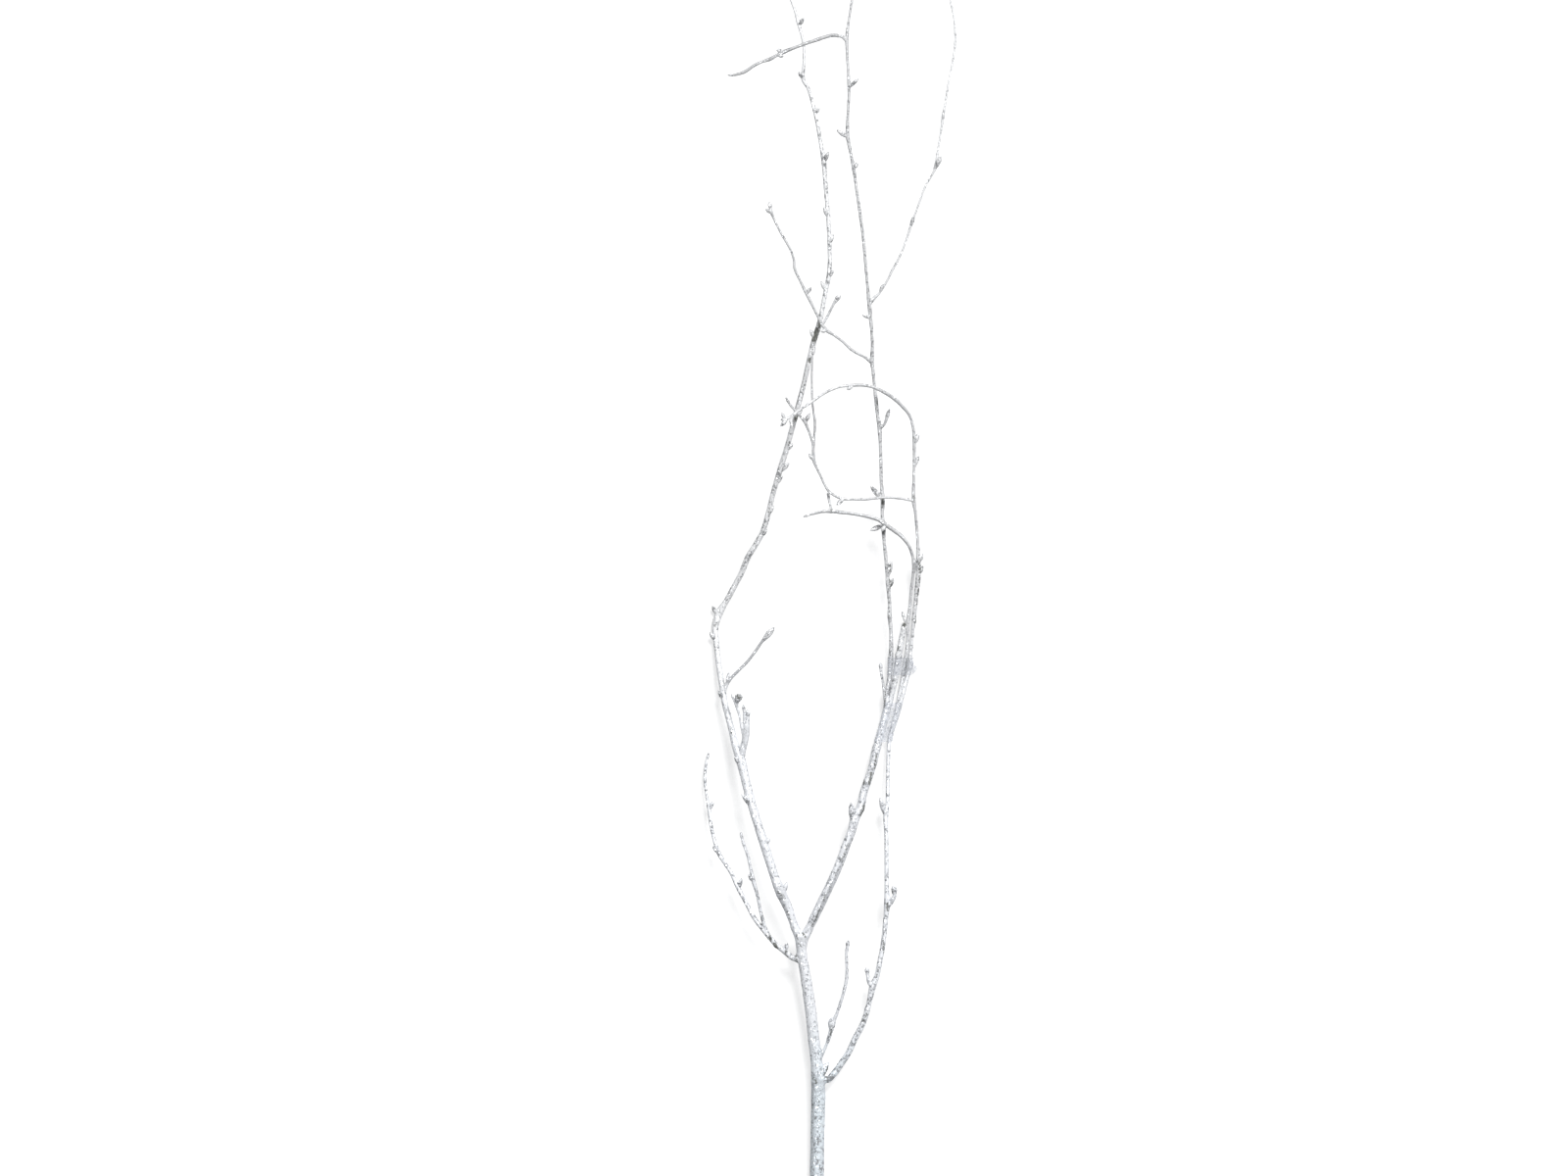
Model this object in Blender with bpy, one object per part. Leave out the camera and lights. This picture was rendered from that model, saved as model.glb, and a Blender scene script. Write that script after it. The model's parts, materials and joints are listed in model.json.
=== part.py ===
"""Birch branch with a silver white coat, lying down: one stem, its limbs, laterals and twigs,
and the two bands of clear film that hold strands together at the right.

The stem's cut end points to -Y and the twigs reach to +Y. Every route is a row of points
(across, along, height, thickness): across and along are traced pixels, height is millimetres
above the surface that the branch lies on, and thickness is traced pixels.
"""
import math

import bmesh
import bpy
from mathutils import Vector

MM = 0.001
PX = 0.75 * MM            # one traced pixel, from a stem 10 mm thick
CENTRE_ACROSS = 848.0     # traced pixel over the origin
CENTRE_ALONG = 623.0
GAP = 0.3                 # mm left between two solids
COLLAR = 9.0              # mm of a side shoot that stays on what it grows from
FORK_COLLAR = 24.0        # the same where two shoots of a fork part slowly
HOOK_COLLAR = 34.0        # the same for the hooked twig, which runs along its lateral
CURVE_SCALE = MM          # curve radii are given in millimetres
STEM_SIDES, LIMB_SIDES, TWIG_SIDES, BUD_SIDES = 10, 8, 6, 6
BUD_PROFILE = ((0.0, 0.6), (0.58, 1.0), (1.0, 0.22))
FILM_SIDES, CORNER_SIDES = 8, 4   # points round one strand under the film, and at its corner
FILM_GAP, FILM_WALL = 0.6, 0.35   # mm between strand and film, and the film's thickness
FILM_OVER = 1.5                   # traced pixels that the hollow goes past the film's edges
WELD = 0.00001

BARK = ("silver_bark", (0.74, 0.76, 0.79), 0.55, 0.25)
TWIG = ("silver_twig", (0.70, 0.72, 0.75), 0.55, 0.25)
FILM = ("clear_film", (0.78, 0.81, 0.86), 0.3, 0.0)

STEM = (
    (832.0, 1330, 5.2, 13.7), (832.8, 1285, 5.9, 13.5), (833.3, 1240, 6.9, 13.3),
    (833.6, 1200, 8.1, 13.3), (834.2, 1160, 9.9, 13.2), (835.0, 1116, 12.3, 13.5),
    (833.5, 1087, 14.3, 11.7), (830.4, 1060, 16.0, 11.2), (828.4, 1040, 17.4, 11.2),
    (825.0, 1015, 19.1, 10.9), (821.4, 992, 20.6, 10.3), (818.7, 976, 21.8, 9.8),
    (817.5, 961, 22.8, 9.0),
)
LEFT_LIMB = (
    (818.0, 974, 22.0, 8.4), (815.5, 957, 23.4, 8.9), (811.0, 946, 24.6, 8.6),
    (804.0, 926, 26.4, 8.5), (797.0, 911, 27.7, 9.6), (790.6, 895, 28.5, 8.4),
    (784.5, 876, 28.9, 8.3), (778.0, 856, 28.7, 8.3), (772.0, 837, 27.7, 8.2),
    (766.5, 818, 26.2, 8.2), (762.5, 803, 24.8, 8.2), (759.0, 788, 23.3, 8.5),
    (756.0, 776, 22.0, 8.8), (750.4, 761, 20.2, 6.6), (746.6, 745, 18.0, 5.9),
    (742.8, 730, 16.0, 5.7), (739.7, 718, 14.2, 5.8), (737.4, 703, 12.2, 5.6),
    (735.0, 689, 10.2, 5.4), (732.8, 672, 7.8, 5.4), (730.5, 650, 5.0, 5.6),
    (730.0, 638, 3.6, 6.2), (733.0, 628, 2.6, 6.9), (735.9, 621, 3.2, 6.3),
)
UPPER_LIMB = (
    (734.4, 624, 2.8, 6.5), (743.6, 609, 5.2, 5.5), (751.0, 595, 7.8, 5.3),
    (757.0, 584, 10.0, 5.3), (763.3, 568, 13.0, 5.5), (771.5, 555, 15.6, 5.3),
    (778.6, 542, 18.0, 5.2), (784.0, 524, 21.6, 5.2), (788.8, 504, 25.0, 4.9),
    (796.4, 478, 29.0, 5.2), (804.0, 453, 32.4, 4.9), (811.7, 424, 35.8, 5.4),
    (818.0, 401, 38.0, 4.8), (822.5, 382, 39.4, 4.8), (826.2, 366, 40.4, 5.1),
    (830.5, 348, 41.4, 5.2), (836.0, 331, 42.0, 5.4), (838.8, 317, 42.2, 4.5),
    (842.0, 300, 42.0, 4.4), (845.8, 281, 41.5, 4.5), (846.8, 262, 40.9, 4.3),
    (845.6, 230, 39.6, 4.3), (843.4, 200, 38.2, 4.2), (841.6, 178, 37.1, 4.2),
    (840.6, 163, 36.3, 5.1), (837.8, 148, 35.5, 3.9), (834.6, 129, 34.5, 3.7),
    (830.5, 110, 33.6, 3.7), (825.0, 91, 32.7, 3.4), (819.4, 80, 32.1, 3.9),
    (820.7, 61, 31.1, 3.1), (819.8, 44, 30.2, 3.1), (817.2, 32, 29.6, 3.3),
    (814.2, 22, 29.1, 3.6), (811.0, 10, 28.6, 2.9), (806.0, -4, 28.1, 2.8),
    (801.0, -24, 27.4, 2.7), (797.2, -47, 26.7, 2.5), (794.0, -68, 26.0, 2.6),
    (792.4, -84, 25.4, 1.1),
)
RIGHT_LIMB = (
    (817.6, 974, 22.0, 8.0), (820.8, 957, 23.6, 8.4), (825.3, 948, 24.6, 8.2),
    (831.4, 935, 26.1, 8.1), (841.6, 914, 27.9, 8.0), (850.6, 895, 28.5, 7.9),
    (857.8, 878, 28.2, 7.8), (863.9, 861, 27.2, 7.7), (869.0, 848, 25.9, 7.8),
    (872.5, 835, 24.4, 8.8), (878.0, 824, 22.8, 7.6), (881.0, 810, 20.8, 7.3),
    (885.3, 797, 18.8, 7.1), (890.4, 781, 16.6, 7.0), (893.8, 766, 14.6, 7.8),
    (897.0, 755, 13.0, 6.6), (900.0, 744, 11.6, 6.4), (903.0, 732, 10.2, 6.2),
    (905.4, 721, 9.2, 6.0), (906.0, 714, 9.1, 4.4),
)
LIMB_SPUR = (
    (904.6, 722, 9.8, 3.0), (902.8, 711, 12.6, 3.0), (901.4, 699, 14.6, 2.6),
    (899.6, 689, 15.8, 2.6), (898.6, 681, 16.6, 3.1), (898.2, 675.6, 17.0, 1.2),
)
CUT_STUB = (
    (904.6, 728, 9.6, 4.8), (908.8, 715, 10.0, 4.8), (911.8, 701, 10.8, 5.0),
    (914.4, 687, 12.0, 5.6), (916.8, 673, 13.2, 5.9), (919.0, 659, 14.4, 5.6),
    (921.2, 646, 15.4, 5.2), (923.4, 636, 16.1, 4.8),
)
TALL_TWIG = (
    (904.4, 723, 9.0, 4.4), (905.0, 709, 8.6, 4.2), (906.9, 697, 8.8, 4.0),
    (908.4, 686, 9.4, 4.0), (909.0, 673, 10.4, 4.5), (909.4, 659, 11.8, 3.6),
    (909.2, 643, 13.3, 3.5), (907.9, 630, 14.2, 4.2), (907.7, 615, 15.1, 3.4),
    (906.3, 597, 16.5, 4.0), (905.3, 586, 17.3, 3.4), (903.8, 567, 18.7, 3.3),
    (901.8, 548, 20.2, 3.3), (901.6, 539, 20.9, 4.2), (900.4, 525, 22.0, 3.2),
    (900.8, 511, 23.2, 4.2), (899.4, 492, 25.0, 3.1), (898.9, 472, 27.0, 3.1),
    (898.3, 451, 29.5, 3.2), (897.3, 435, 31.6, 4.0), (895.4, 423, 33.2, 3.1),
    (893.9, 408, 35.4, 3.6), (892.3, 394, 37.5, 3.0), (891.0, 380, 39.8, 3.1),
    (889.8, 368, 41.6, 3.8), (890.2, 352, 44.0, 2.9), (889.3, 336, 46.4, 2.9),
    (888.0, 322, 48.5, 3.6), (886.8, 309, 50.4, 3.7), (885.6, 296, 52.3, 2.9),
    (883.4, 273, 55.7, 2.8), (882.2, 257, 58.0, 2.9), (880.3, 239, 60.2, 2.8),
    (877.9, 221, 62.2, 2.8), (875.2, 202, 64.2, 2.9), (872.8, 185, 65.9, 2.8),
    (870.8, 171, 67.1, 3.4), (868.3, 158, 68.2, 2.8), (864.8, 139, 69.6, 3.5),
    (865.0, 120, 71.0, 2.7), (866.2, 99, 72.4, 2.7), (866.2, 87, 73.1, 3.3),
    (865.6, 74, 73.9, 2.7), (864.5, 57, 74.6, 2.7), (864.2, 38, 75.0, 3.2),
    (866.0, 22, 75.4, 2.5), (868.6, 6, 75.6, 2.4), (870.6, -13, 75.4, 2.4),
    (871.0, -34, 75.0, 2.6), (869.4, -53, 74.5, 1.0),
)
CROSSING_TWIG = (
    (890.0, 371, 41.2, 2.6), (884.5, 366, 42.6, 2.7), (877.8, 362, 44.0, 2.6),
    (868.9, 357, 46.0, 2.6), (860.4, 349, 48.1, 2.5), (851.0, 342, 50.1, 2.6),
    (843.4, 337, 51.8, 3.3), (837.6, 329, 53.2, 2.5), (829.6, 313, 55.6, 2.5),
    (822.6, 299, 57.3, 2.9), (816.6, 287, 58.8, 2.4), (811.2, 275, 60.1, 2.8),
    (810.0, 265, 61.0, 2.3), (806.6, 255, 62.0, 2.3), (801.0, 245, 63.0, 2.3),
    (794.8, 234, 64.0, 2.2), (789.5, 223, 65.0, 2.4), (786.8, 216, 65.6, 3.4),
    (785.0, 206, 66.4, 1.1),
)
FAR_TWIG = (
    (886.2, 312, 50.0, 2.8), (890.4, 306, 51.0, 3.4), (897.5, 299, 52.2, 2.6),
    (904.4, 288, 53.8, 2.5), (911.0, 275, 55.1, 2.7), (916.6, 265, 56.2, 2.4),
    (921.4, 254, 57.1, 2.4), (925.8, 242, 58.0, 2.4), (929.2, 231, 58.6, 3.0),
    (934.0, 218, 59.2, 2.3), (939.4, 203, 59.7, 2.3), (944.8, 189, 60.0, 2.4),
    (951.4, 178, 60.3, 2.5), (954.9, 169, 60.5, 3.6), (957.2, 152, 60.4, 2.3),
    (959.6, 137, 60.2, 2.3), (962.0, 121, 59.9, 2.9), (964.8, 104, 59.4, 2.2),
    (967.6, 86, 58.7, 2.2), (970.6, 71, 58.0, 2.2), (973.0, 57, 57.3, 2.3),
    (974.6, 42, 56.5, 2.3), (973.8, 22, 55.4, 2.2), (971.2, 8, 54.7, 2.2),
    (968.0, -5, 53.9, 2.2), (963.6, -20, 53.0, 2.1), (958.4, -35, 52.0, 2.3),
    (953.6, -49, 51.1, 0.9),
)
TOP_TWIG = (
    (864.6, 43, 74.8, 2.8), (859.4, 38, 75.4, 3.4), (850.0, 36.6, 76.3, 3.0),
    (842.0, 38.4, 77.0, 3.0), (831.4, 42, 78.0, 3.1), (822.5, 45, 78.7, 2.8),
    (806.4, 51, 80.0, 2.7), (799.3, 54, 80.5, 3.3), (793.0, 57, 81.0, 2.6),
    (785.9, 61, 81.5, 3.0), (777.0, 64, 82.0, 2.5), (769.0, 68, 82.5, 2.5),
    (760.0, 74, 83.0, 2.8), (751.0, 77, 83.5, 2.3), (742.5, 77.5, 84.0, 1.0),
)
RIGHT_LATERAL = (
    (834.6, 1108, 12.7, 6.6), (840.4, 1103, 13.2, 6.8), (846.0, 1101, 13.6, 6.4),
    (852.4, 1094, 14.0, 6.2), (858.6, 1085, 14.5, 5.9), (866.0, 1074, 15.2, 5.7),
    (872.4, 1060, 16.0, 5.6), (879.0, 1048, 16.7, 5.4), (884.0, 1035, 17.4, 5.3),
    (887.6, 1020, 18.1, 5.2), (890.8, 1006, 18.7, 6.4), (894.9, 996, 19.1, 5.0),
    (898.0, 981, 19.6, 4.9), (900.8, 966, 19.9, 4.8), (902.9, 949, 20.0, 4.7),
    (904.0, 936, 19.9, 4.7), (905.2, 923, 19.7, 5.8), (904.8, 902, 19.1, 4.3),
    (904.7, 882, 18.3, 4.2), (904.6, 862, 17.2, 4.1), (904.2, 846, 16.1, 4.1),
    (904.0, 832, 15.0, 4.9), (905.6, 820, 13.9, 3.9), (906.0, 800, 12.1, 3.9),
    (906.4, 780, 10.2, 3.8), (906.8, 766, 8.8, 3.8), (908.0, 753, 7.2, 3.9),
    (911.0, 741, 5.9, 4.4), (914.6, 730, 4.9, 4.8), (918.2, 719, 4.2, 4.2),
    (921.6, 708, 3.7, 4.1), (924.4, 697, 3.2, 4.1), (926.6, 687, 2.9, 4.5),
    (928.4, 678, 2.8, 4.6), (929.2, 670, 3.1, 3.6),
)
ARCHING_TWIG = (
    (928.2, 679, 2.9, 3.6), (929.6, 664, 3.5, 3.5), (930.8, 651, 4.8, 3.4),
    (932.2, 636, 6.8, 3.4), (933.6, 620, 9.4, 3.3), (934.9, 606, 11.7, 3.4),
    (936.4, 592, 14.0, 3.8), (936.9, 580, 16.1, 3.8), (936.9, 568, 18.2, 3.6),
    (936.4, 551, 21.0, 3.1), (935.4, 536, 23.3, 3.1), (933.9, 521, 25.8, 3.1),
    (932.3, 510, 27.5, 3.9), (932.6, 488, 31.0, 2.9), (932.9, 468, 34.2, 2.9),
    (932.8, 450, 37.2, 3.4), (931.7, 436, 39.8, 2.8), (928.0, 424, 42.4, 2.8),
    (920.6, 414.5, 45.0, 2.8), (912.0, 406.5, 47.6, 3.1), (902.0, 400.2, 50.0, 2.7),
    (891.6, 395.4, 52.0, 2.7), (881.6, 393.3, 53.9, 2.7), (870.6, 393.2, 55.9, 3.1),
    (857.6, 394.6, 58.0, 2.6), (847.0, 398.4, 59.6, 2.6), (838.6, 403, 61.0, 2.6),
    (830.4, 408.6, 62.2, 2.9), (823.2, 413.7, 63.2, 2.5), (815.8, 418.2, 64.1, 2.5),
    (809.0, 424.0, 64.8, 3.3), (803.0, 427.6, 65.2, 2.4), (796.4, 428.8, 65.6, 1.2),
)
INNER_TWIG = (
    (932.6, 510.5, 27.5, 2.6), (928.0, 510, 28.3, 2.7), (917.0, 508.2, 29.6, 2.5),
    (905.3, 507.6, 30.8, 2.5), (893.0, 508.4, 31.8, 2.4), (880.8, 509.6, 32.6, 2.5),
    (869.4, 509.4, 33.3, 2.4), (860.6, 508.8, 33.9, 3.1), (853.0, 506.4, 34.6, 2.4),
    (845.6, 501.0, 35.4, 2.6), (841.2, 494, 36.3, 2.3), (837.6, 486, 37.4, 2.3),
    (833.2, 477, 38.9, 2.4), (830.4, 469, 40.3, 3.2), (829.6, 455, 43.0, 2.3),
    (827.4, 446, 45.0, 2.3), (824.6, 438, 46.7, 2.4), (821.4, 430.6, 48.3, 3.1),
    (816.4, 424.6, 49.6, 2.3), (811.6, 419.4, 50.6, 2.2), (806.4, 413.4, 51.7, 2.2),
    (801.8, 405.8, 52.8, 0.9),
)
HOOKED_TWIG = (
    (914.0, 733, 5.2, 4.0), (917.0, 714, 5.2, 3.8), (919.4, 701, 5.5, 3.8),
    (921.8, 687, 5.9, 3.7), (924.4, 672, 6.4, 3.6), (926.0, 660, 7.1, 3.1),
    (926.4, 649, 8.0, 3.0), (926.2, 637, 10.0, 3.7), (928.4, 621, 13.2, 2.8),
    (929.8, 604, 17.0, 2.7),
    (931.8, 587, 20.6, 2.7), (932.8, 576, 22.6, 3.5), (930.6, 565, 24.0, 2.6),
    (927.0, 556, 25.0, 2.6), (920.4, 547.6, 26.2, 2.6), (912.0, 541, 27.4, 2.6),
    (904.0, 535.4, 28.4, 3.0), (897.6, 530.6, 29.1, 2.5), (890.0, 528, 29.8, 2.5),
    (880.8, 525.6, 30.4, 2.5), (870.6, 524, 30.8, 2.4), (860.0, 522.8, 31.0, 2.5),
    (848.6, 521.4, 31.0, 3.3), (839.6, 522, 31.1, 2.3), (830.0, 524.2, 31.3, 2.2),
    (819.6, 527.4, 31.6, 1.1),
)
LEFT_LATERAL = (
    (822.0, 984, 21.2, 4.6), (814.6, 980, 22.2, 5.2), (808.0, 977, 22.7, 5.0),
    (800.6, 970.6, 23.3, 5.5), (792.0, 964, 23.8, 4.6), (785.6, 956.6, 24.0, 4.9),
    (779.0, 949, 24.0, 4.4), (769.2, 936, 23.5, 4.2), (761.3, 921, 22.4, 4.1),
    (753.7, 907, 20.9, 4.4), (746.2, 891, 19.0, 3.9), (740.4, 882, 17.7, 3.8),
    (733.6, 871, 16.2, 4.3), (729.0, 858, 14.4, 3.5), (725.6, 842, 12.2, 3.4),
    (723.6, 826, 10.0, 3.8), (721.0, 811, 8.2, 3.0), (719.4, 796, 6.6, 3.0),
    (720.4, 781, 5.4, 2.8), (722.8, 768, 4.6, 1.2),
)
LEFT_SHOOT = (
    (784.2, 954.6, 24.0, 3.2), (779.6, 943, 25.2, 3.4), (776.4, 931, 26.4, 3.2),
    (772.8, 913, 28.0, 3.1), (768.8, 899, 29.4, 3.8), (766.0, 886, 30.4, 2.9),
    (762.8, 872, 31.3, 2.9), (758.4, 860, 32.0, 2.8), (755.8, 849, 32.4, 1.1),
)

NODE_SPUR = (
    (756.2, 775, 21.8, 5.4), (758.2, 764, 23.4, 6.2), (760.6, 754, 24.8, 6.4),
    (761.6, 744, 26.2, 6.2), (762.6, 736, 27.2, 4.4), (763.2, 730, 27.8, 3.6),
    (763.0, 724, 28.4, 1.2),
)
NODE_SPUR_SIDE = ((760.8, 743, 26.4, 3.2), (759.4, 734, 27.8, 2.6), (759.2, 727, 28.8, 2.6),
                  (758.8, 719, 29.8, 1.1))
LOW_SPUR = (
    (759.4, 753, 25.0, 2.8), (756.6, 742, 26.6, 2.5), (754.6, 731, 28.0, 2.3),
    (752.8, 724, 28.8, 3.0), (750.0, 717.6, 29.5, 2.1), (746.2, 708, 30.4, 1.0),
)
LOW_SPUR_SIDE = ((752.6, 723, 28.8, 2.2), (752.4, 716, 30.2, 3.2), (753.6, 711, 31.0, 5.6),
                 (755.4, 706.6, 31.6, 2.0))
BUD_TWIG = (
    (737.8, 709, 12.9, 2.8), (742.4, 697, 14.4, 2.9), (747.4, 690.4, 15.4, 2.5),
    (754.6, 683.2, 16.8, 2.4), (762.7, 675, 18.2, 2.4), (770.0, 665.6, 19.6, 2.4),
    (777.0, 655, 21.0, 2.4), (779.8, 652.2, 21.4, 3.6), (783.2, 648.6, 22.0, 5.2),
    (786.6, 645, 22.6, 4.6), (790.0, 640.6, 23.0, 1.1),
)
HIGH_SPUR = (
    (836.6, 333, 42.0, 3.0), (841.4, 328, 43.2, 2.7), (845.9, 320, 44.4, 2.6),
    (850.0, 311.4, 45.6, 2.7), (853.6, 306, 46.4, 3.9), (857.2, 300.6, 47.2, 1.2),
)
INNER_ARM = (
    (829.8, 461, 41.8, 2.3), (830.8, 447, 44.6, 2.1), (831.6, 431, 47.4, 2.7),
    (830.0, 420, 49.2, 2.0), (828.9, 409, 50.9, 2.2), (828.5, 393, 53.0, 1.9),
    (828.5, 378, 54.8, 1.9), (829.4, 363, 56.2, 1.0),
)
CUT_HOOK = ((897.4, 437, 31.2, 2.6), (902.0, 433.6, 33.0, 2.4), (904.4, 428, 34.6, 2.8),
            (906.2, 423, 35.6, 3.5), (907.8, 417.4, 36.6, 1.1))
LATERAL_SPUR = ((891.4, 1008, 18.6, 3.2), (886.6, 1003, 20.2, 3.0), (885.2, 994, 21.6, 3.4),
                (884.0, 986.6, 22.6, 1.1))
LATERAL_HOOK = ((904.4, 925, 19.4, 3.2), (909.4, 922, 21.0, 3.0), (912.8, 914, 22.6, 4.2),
                (912.2, 902.4, 24.0, 1.2))
HOOKED_SPUR = ((926.0, 639, 9.4, 2.4), (922.6, 631, 10.4, 2.2), (920.4, 624, 11.4, 0.9))
HOOKED_ARM = ((932.6, 579, 22.0, 2.4), (935.6, 573, 24.6, 2.6), (938.4, 569.4, 26.0, 1.0))
HOOKED_SHOOT = ((848.8, 522.6, 30.9, 2.4), (847.2, 515, 30.4, 2.2), (845.4, 507, 29.8, 2.4),
                (844.8, 501, 29.4, 0.9))
ARCH_TIP = ((809.6, 423.4, 64.6, 2.2), (806.8, 430, 65.8, 2.8), (808.6, 437, 66.8, 1.0))

UPRIGHT_TWIG = (
    (832.6, 1090, 15.0, 3.4), (838.6, 1077, 18.2, 3.3), (844.6, 1063, 21.4, 3.1),
    (848.2, 1051, 24.0, 3.4), (850.4, 1043, 25.6, 3.6), (854.0, 1034, 27.2, 2.9),
    (858.4, 1021, 29.4, 2.8), (861.8, 1009, 31.2, 2.8), (864.0, 997, 32.8, 2.9),
    (864.0, 985, 34.2, 2.6), (863.8, 973, 35.4, 2.6), (865.0, 964, 36.2, 3.2),
    (865.4, 959, 36.6, 1.5),
)

# bands of clear film: the strands under each one and where its rings lie (traced pixels)
UPPER_STRANDS = (TALL_TWIG, CUT_STUB, HOOKED_TWIG, RIGHT_LATERAL, ARCHING_TWIG)
UPPER_BAND = (689.0, 678.6, 671.4)
LOWER_STRANDS = (RIGHT_LIMB, LIMB_SPUR, CUT_STUB, TALL_TWIG, HOOKED_TWIG, RIGHT_LATERAL)
LOWER_BAND = (757.0, 735.0, 717.0)
# the loose corner of the upper band
FILM_CORNER = ((930.9, 674.0, 3.0, 0.5), (936.0, 683.4, 3.2, 0.4), (930.9, 688.4, 2.9, 0.5))

# buds: where each one sits, where its tip is, its thickness (traced pixels), its rise (mm)
STEM_BUDS = ((841.0, 1102, 845.6, 1085, 4.8, 2.0), (827.6, 1029, 821.4, 1018, 3.8, 1.0))
LEFT_LIMB_BUDS = (
    (798.0, 913, 803.0, 901, 3.9, 2.0), (786.0, 880, 789.4, 868, 3.6, 1.5),
    (778.6, 862, 785.4, 855, 4.0, 2.0), (766.4, 826, 757.8, 811, 3.4, 2.5),
    (757.4, 781, 750.0, 773, 3.8, 2.0),
    (738.6, 714, 733.0, 706, 3.2, 1.5), (741.6, 699, 743.8, 686.6, 3.0, 1.5),
    (731.0, 654, 724.6, 646, 3.2, 2.0), (733.0, 628, 727.0, 619, 3.4, 2.5),
)
UPPER_LIMB_BUDS = (
    (763.0, 569, 769.6, 560, 3.2, 2.0),
    (776.0, 548, 782.2, 541, 3.2, 1.5), (783.8, 525, 789.4, 517, 3.2, 2.0),
    (792.0, 494, 798.0, 486, 3.2, 1.5), (797.4, 482, 804.8, 473, 3.6, 2.0),
    (802.6, 460, 808.2, 453, 3.4, 2.0), (811.6, 426, 818.4, 418, 3.2, 2.0),
    (827.6, 366, 831.6, 354, 3.6, 2.0), (832.0, 346, 827.2, 337, 3.0, 1.5),
    (842.8, 297, 838.2, 288, 2.9, 1.5), (846.0, 284, 850.2, 276, 2.9, 1.5),
    (846.6, 249, 850.2, 240, 3.0, 1.5), (845.0, 222, 840.8, 212, 3.2, 2.0),
    (840.8, 166, 844.8, 156, 3.2, 2.0), (831.4, 116, 836.0, 110.6, 2.9, 1.5),
    (819.6, 81, 815.4, 74, 2.9, 1.5), (815.4, 26, 820.0, 19, 3.2, 2.0),
)
RIGHT_LIMB_BUDS = (
    (871.4, 840, 868.0, 820.6, 5.4, 2.5), (893.6, 768, 890.0, 756, 3.8, 2.0),
    (852.0, 892, 857.6, 884, 3.4, 1.5),
)
TALL_TWIG_BUDS = (
    (906.4, 600, 911.2, 591, 3.8, 2.0),
    (905.6, 589, 909.2, 573, 4.2, 2.5), (901.6, 536, 889.0, 541, 3.6, 3.0),
    (900.8, 510, 888.8, 497, 3.7, 3.0), (893.8, 410, 898.6, 403, 2.9, 1.5),
    (888.2, 325, 880.4, 321, 2.9, 2.0), (870.8, 173, 875.0, 166, 3.0, 1.5),
    (864.8, 141, 854.4, 134, 3.1, 2.5), (866.4, 90, 875.6, 81, 3.0, 2.5),
    (880.4, 241, 876.6, 233, 2.8, 1.5),
)
CROSSING_TWIG_BUDS = (
    (843.4, 337, 838.0, 338.6, 3.0, 2.0), (822.8, 300, 827.6, 294, 2.9, 1.5),
    (811.4, 276, 806.2, 272, 2.7, 1.5), (787.2, 218, 782.0, 214, 3.0, 1.5),
)
FAR_TWIG_BUDS = (
    (898.0, 298.6, 901.2, 291, 2.9, 1.5), (929.0, 232, 932.6, 222, 3.1, 1.5),
    (954.0, 173, 960.2, 160, 4.4, 2.5), (961.8, 123, 965.0, 113, 3.0, 1.5),
    (911.0, 276, 906.4, 270, 2.6, 1.5), (941.6, 199, 946.6, 193, 2.8, 1.5),
    (974.4, 44, 978.0, 37, 2.6, 1.5),
)
TOP_TWIG_BUDS = (
    (848.0, 37.2, 844.0, 31, 2.7, 1.5), (799.4, 54, 792.6, 49.4, 3.0, 1.5),
    (786.0, 61, 783.0, 54, 2.8, 1.5), (760.4, 74, 753.2, 69, 2.7, 1.5),
)
RIGHT_LATERAL_BUDS = (
    (903.8, 833, 898.0, 816, 3.7, 2.5), (872.0, 1061, 867.2, 1052, 3.4, 1.5),
    (905.0, 784, 909.4, 775, 3.0, 1.5),
)
ARCHING_TWIG_BUDS = (
    (936.2, 596, 941.2, 588, 3.6, 1.5), (936.8, 586, 941.8, 578, 3.6, 1.5),
    (936.9, 574, 941.8, 566, 3.4, 1.5), (932.8, 453, 937.4, 443, 3.6, 1.5),
    (932.8, 477, 937.0, 466, 3.0, 1.5),
    (912.4, 407, 915.6, 400, 2.7, 1.5), (870.6, 393.2, 864.6, 397.8, 2.9, 1.5),
    (830.6, 408.4, 825.4, 405.4, 2.7, 1.5),
)
INNER_TWIG_BUDS = (
    (861.0, 508.8, 854.2, 515, 3.2, 1.5), (830.6, 470, 825.4, 464, 3.0, 1.5),
    (821.6, 431, 826.4, 422, 3.1, 1.5), (880.6, 509.6, 874.4, 505, 2.7, 1.5),
)
HOOKED_TWIG_BUDS = ((904.4, 535.8, 899.4, 541.4, 2.9, 1.5), (860.0, 522.8, 853.8, 526.6, 2.6, 1.0))
UPRIGHT_TWIG_BUDS = ((848.6, 1050, 848.6, 1039, 4.2, 1.5), (864.0, 996, 868.0, 989, 2.9, 1.5))
LEFT_LATERAL_BUDS = (
    (800.8, 971, 803.4, 963, 3.2, 1.5), (753.8, 907, 756.6, 897, 3.0, 1.5),
    (733.8, 871, 728.0, 864, 3.1, 1.5), (768.8, 900, 764.0, 893, 3.1, 1.5),
    (723.6, 827, 727.6, 818, 2.9, 1.5),
)


def collection(name):
    made = bpy.data.collections.new(name)
    bpy.context.scene.collection.children.link(made)
    return made


def material(name, colour, roughness, metallic):
    made = bpy.data.materials.new(name)
    made.use_nodes = True
    shader = made.node_tree.nodes["Principled BSDF"]
    shader.inputs["Base Color"].default_value = (*colour, 1.0)
    shader.inputs["Roughness"].default_value = roughness
    shader.inputs["Metallic"].default_value = metallic
    return made


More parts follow.
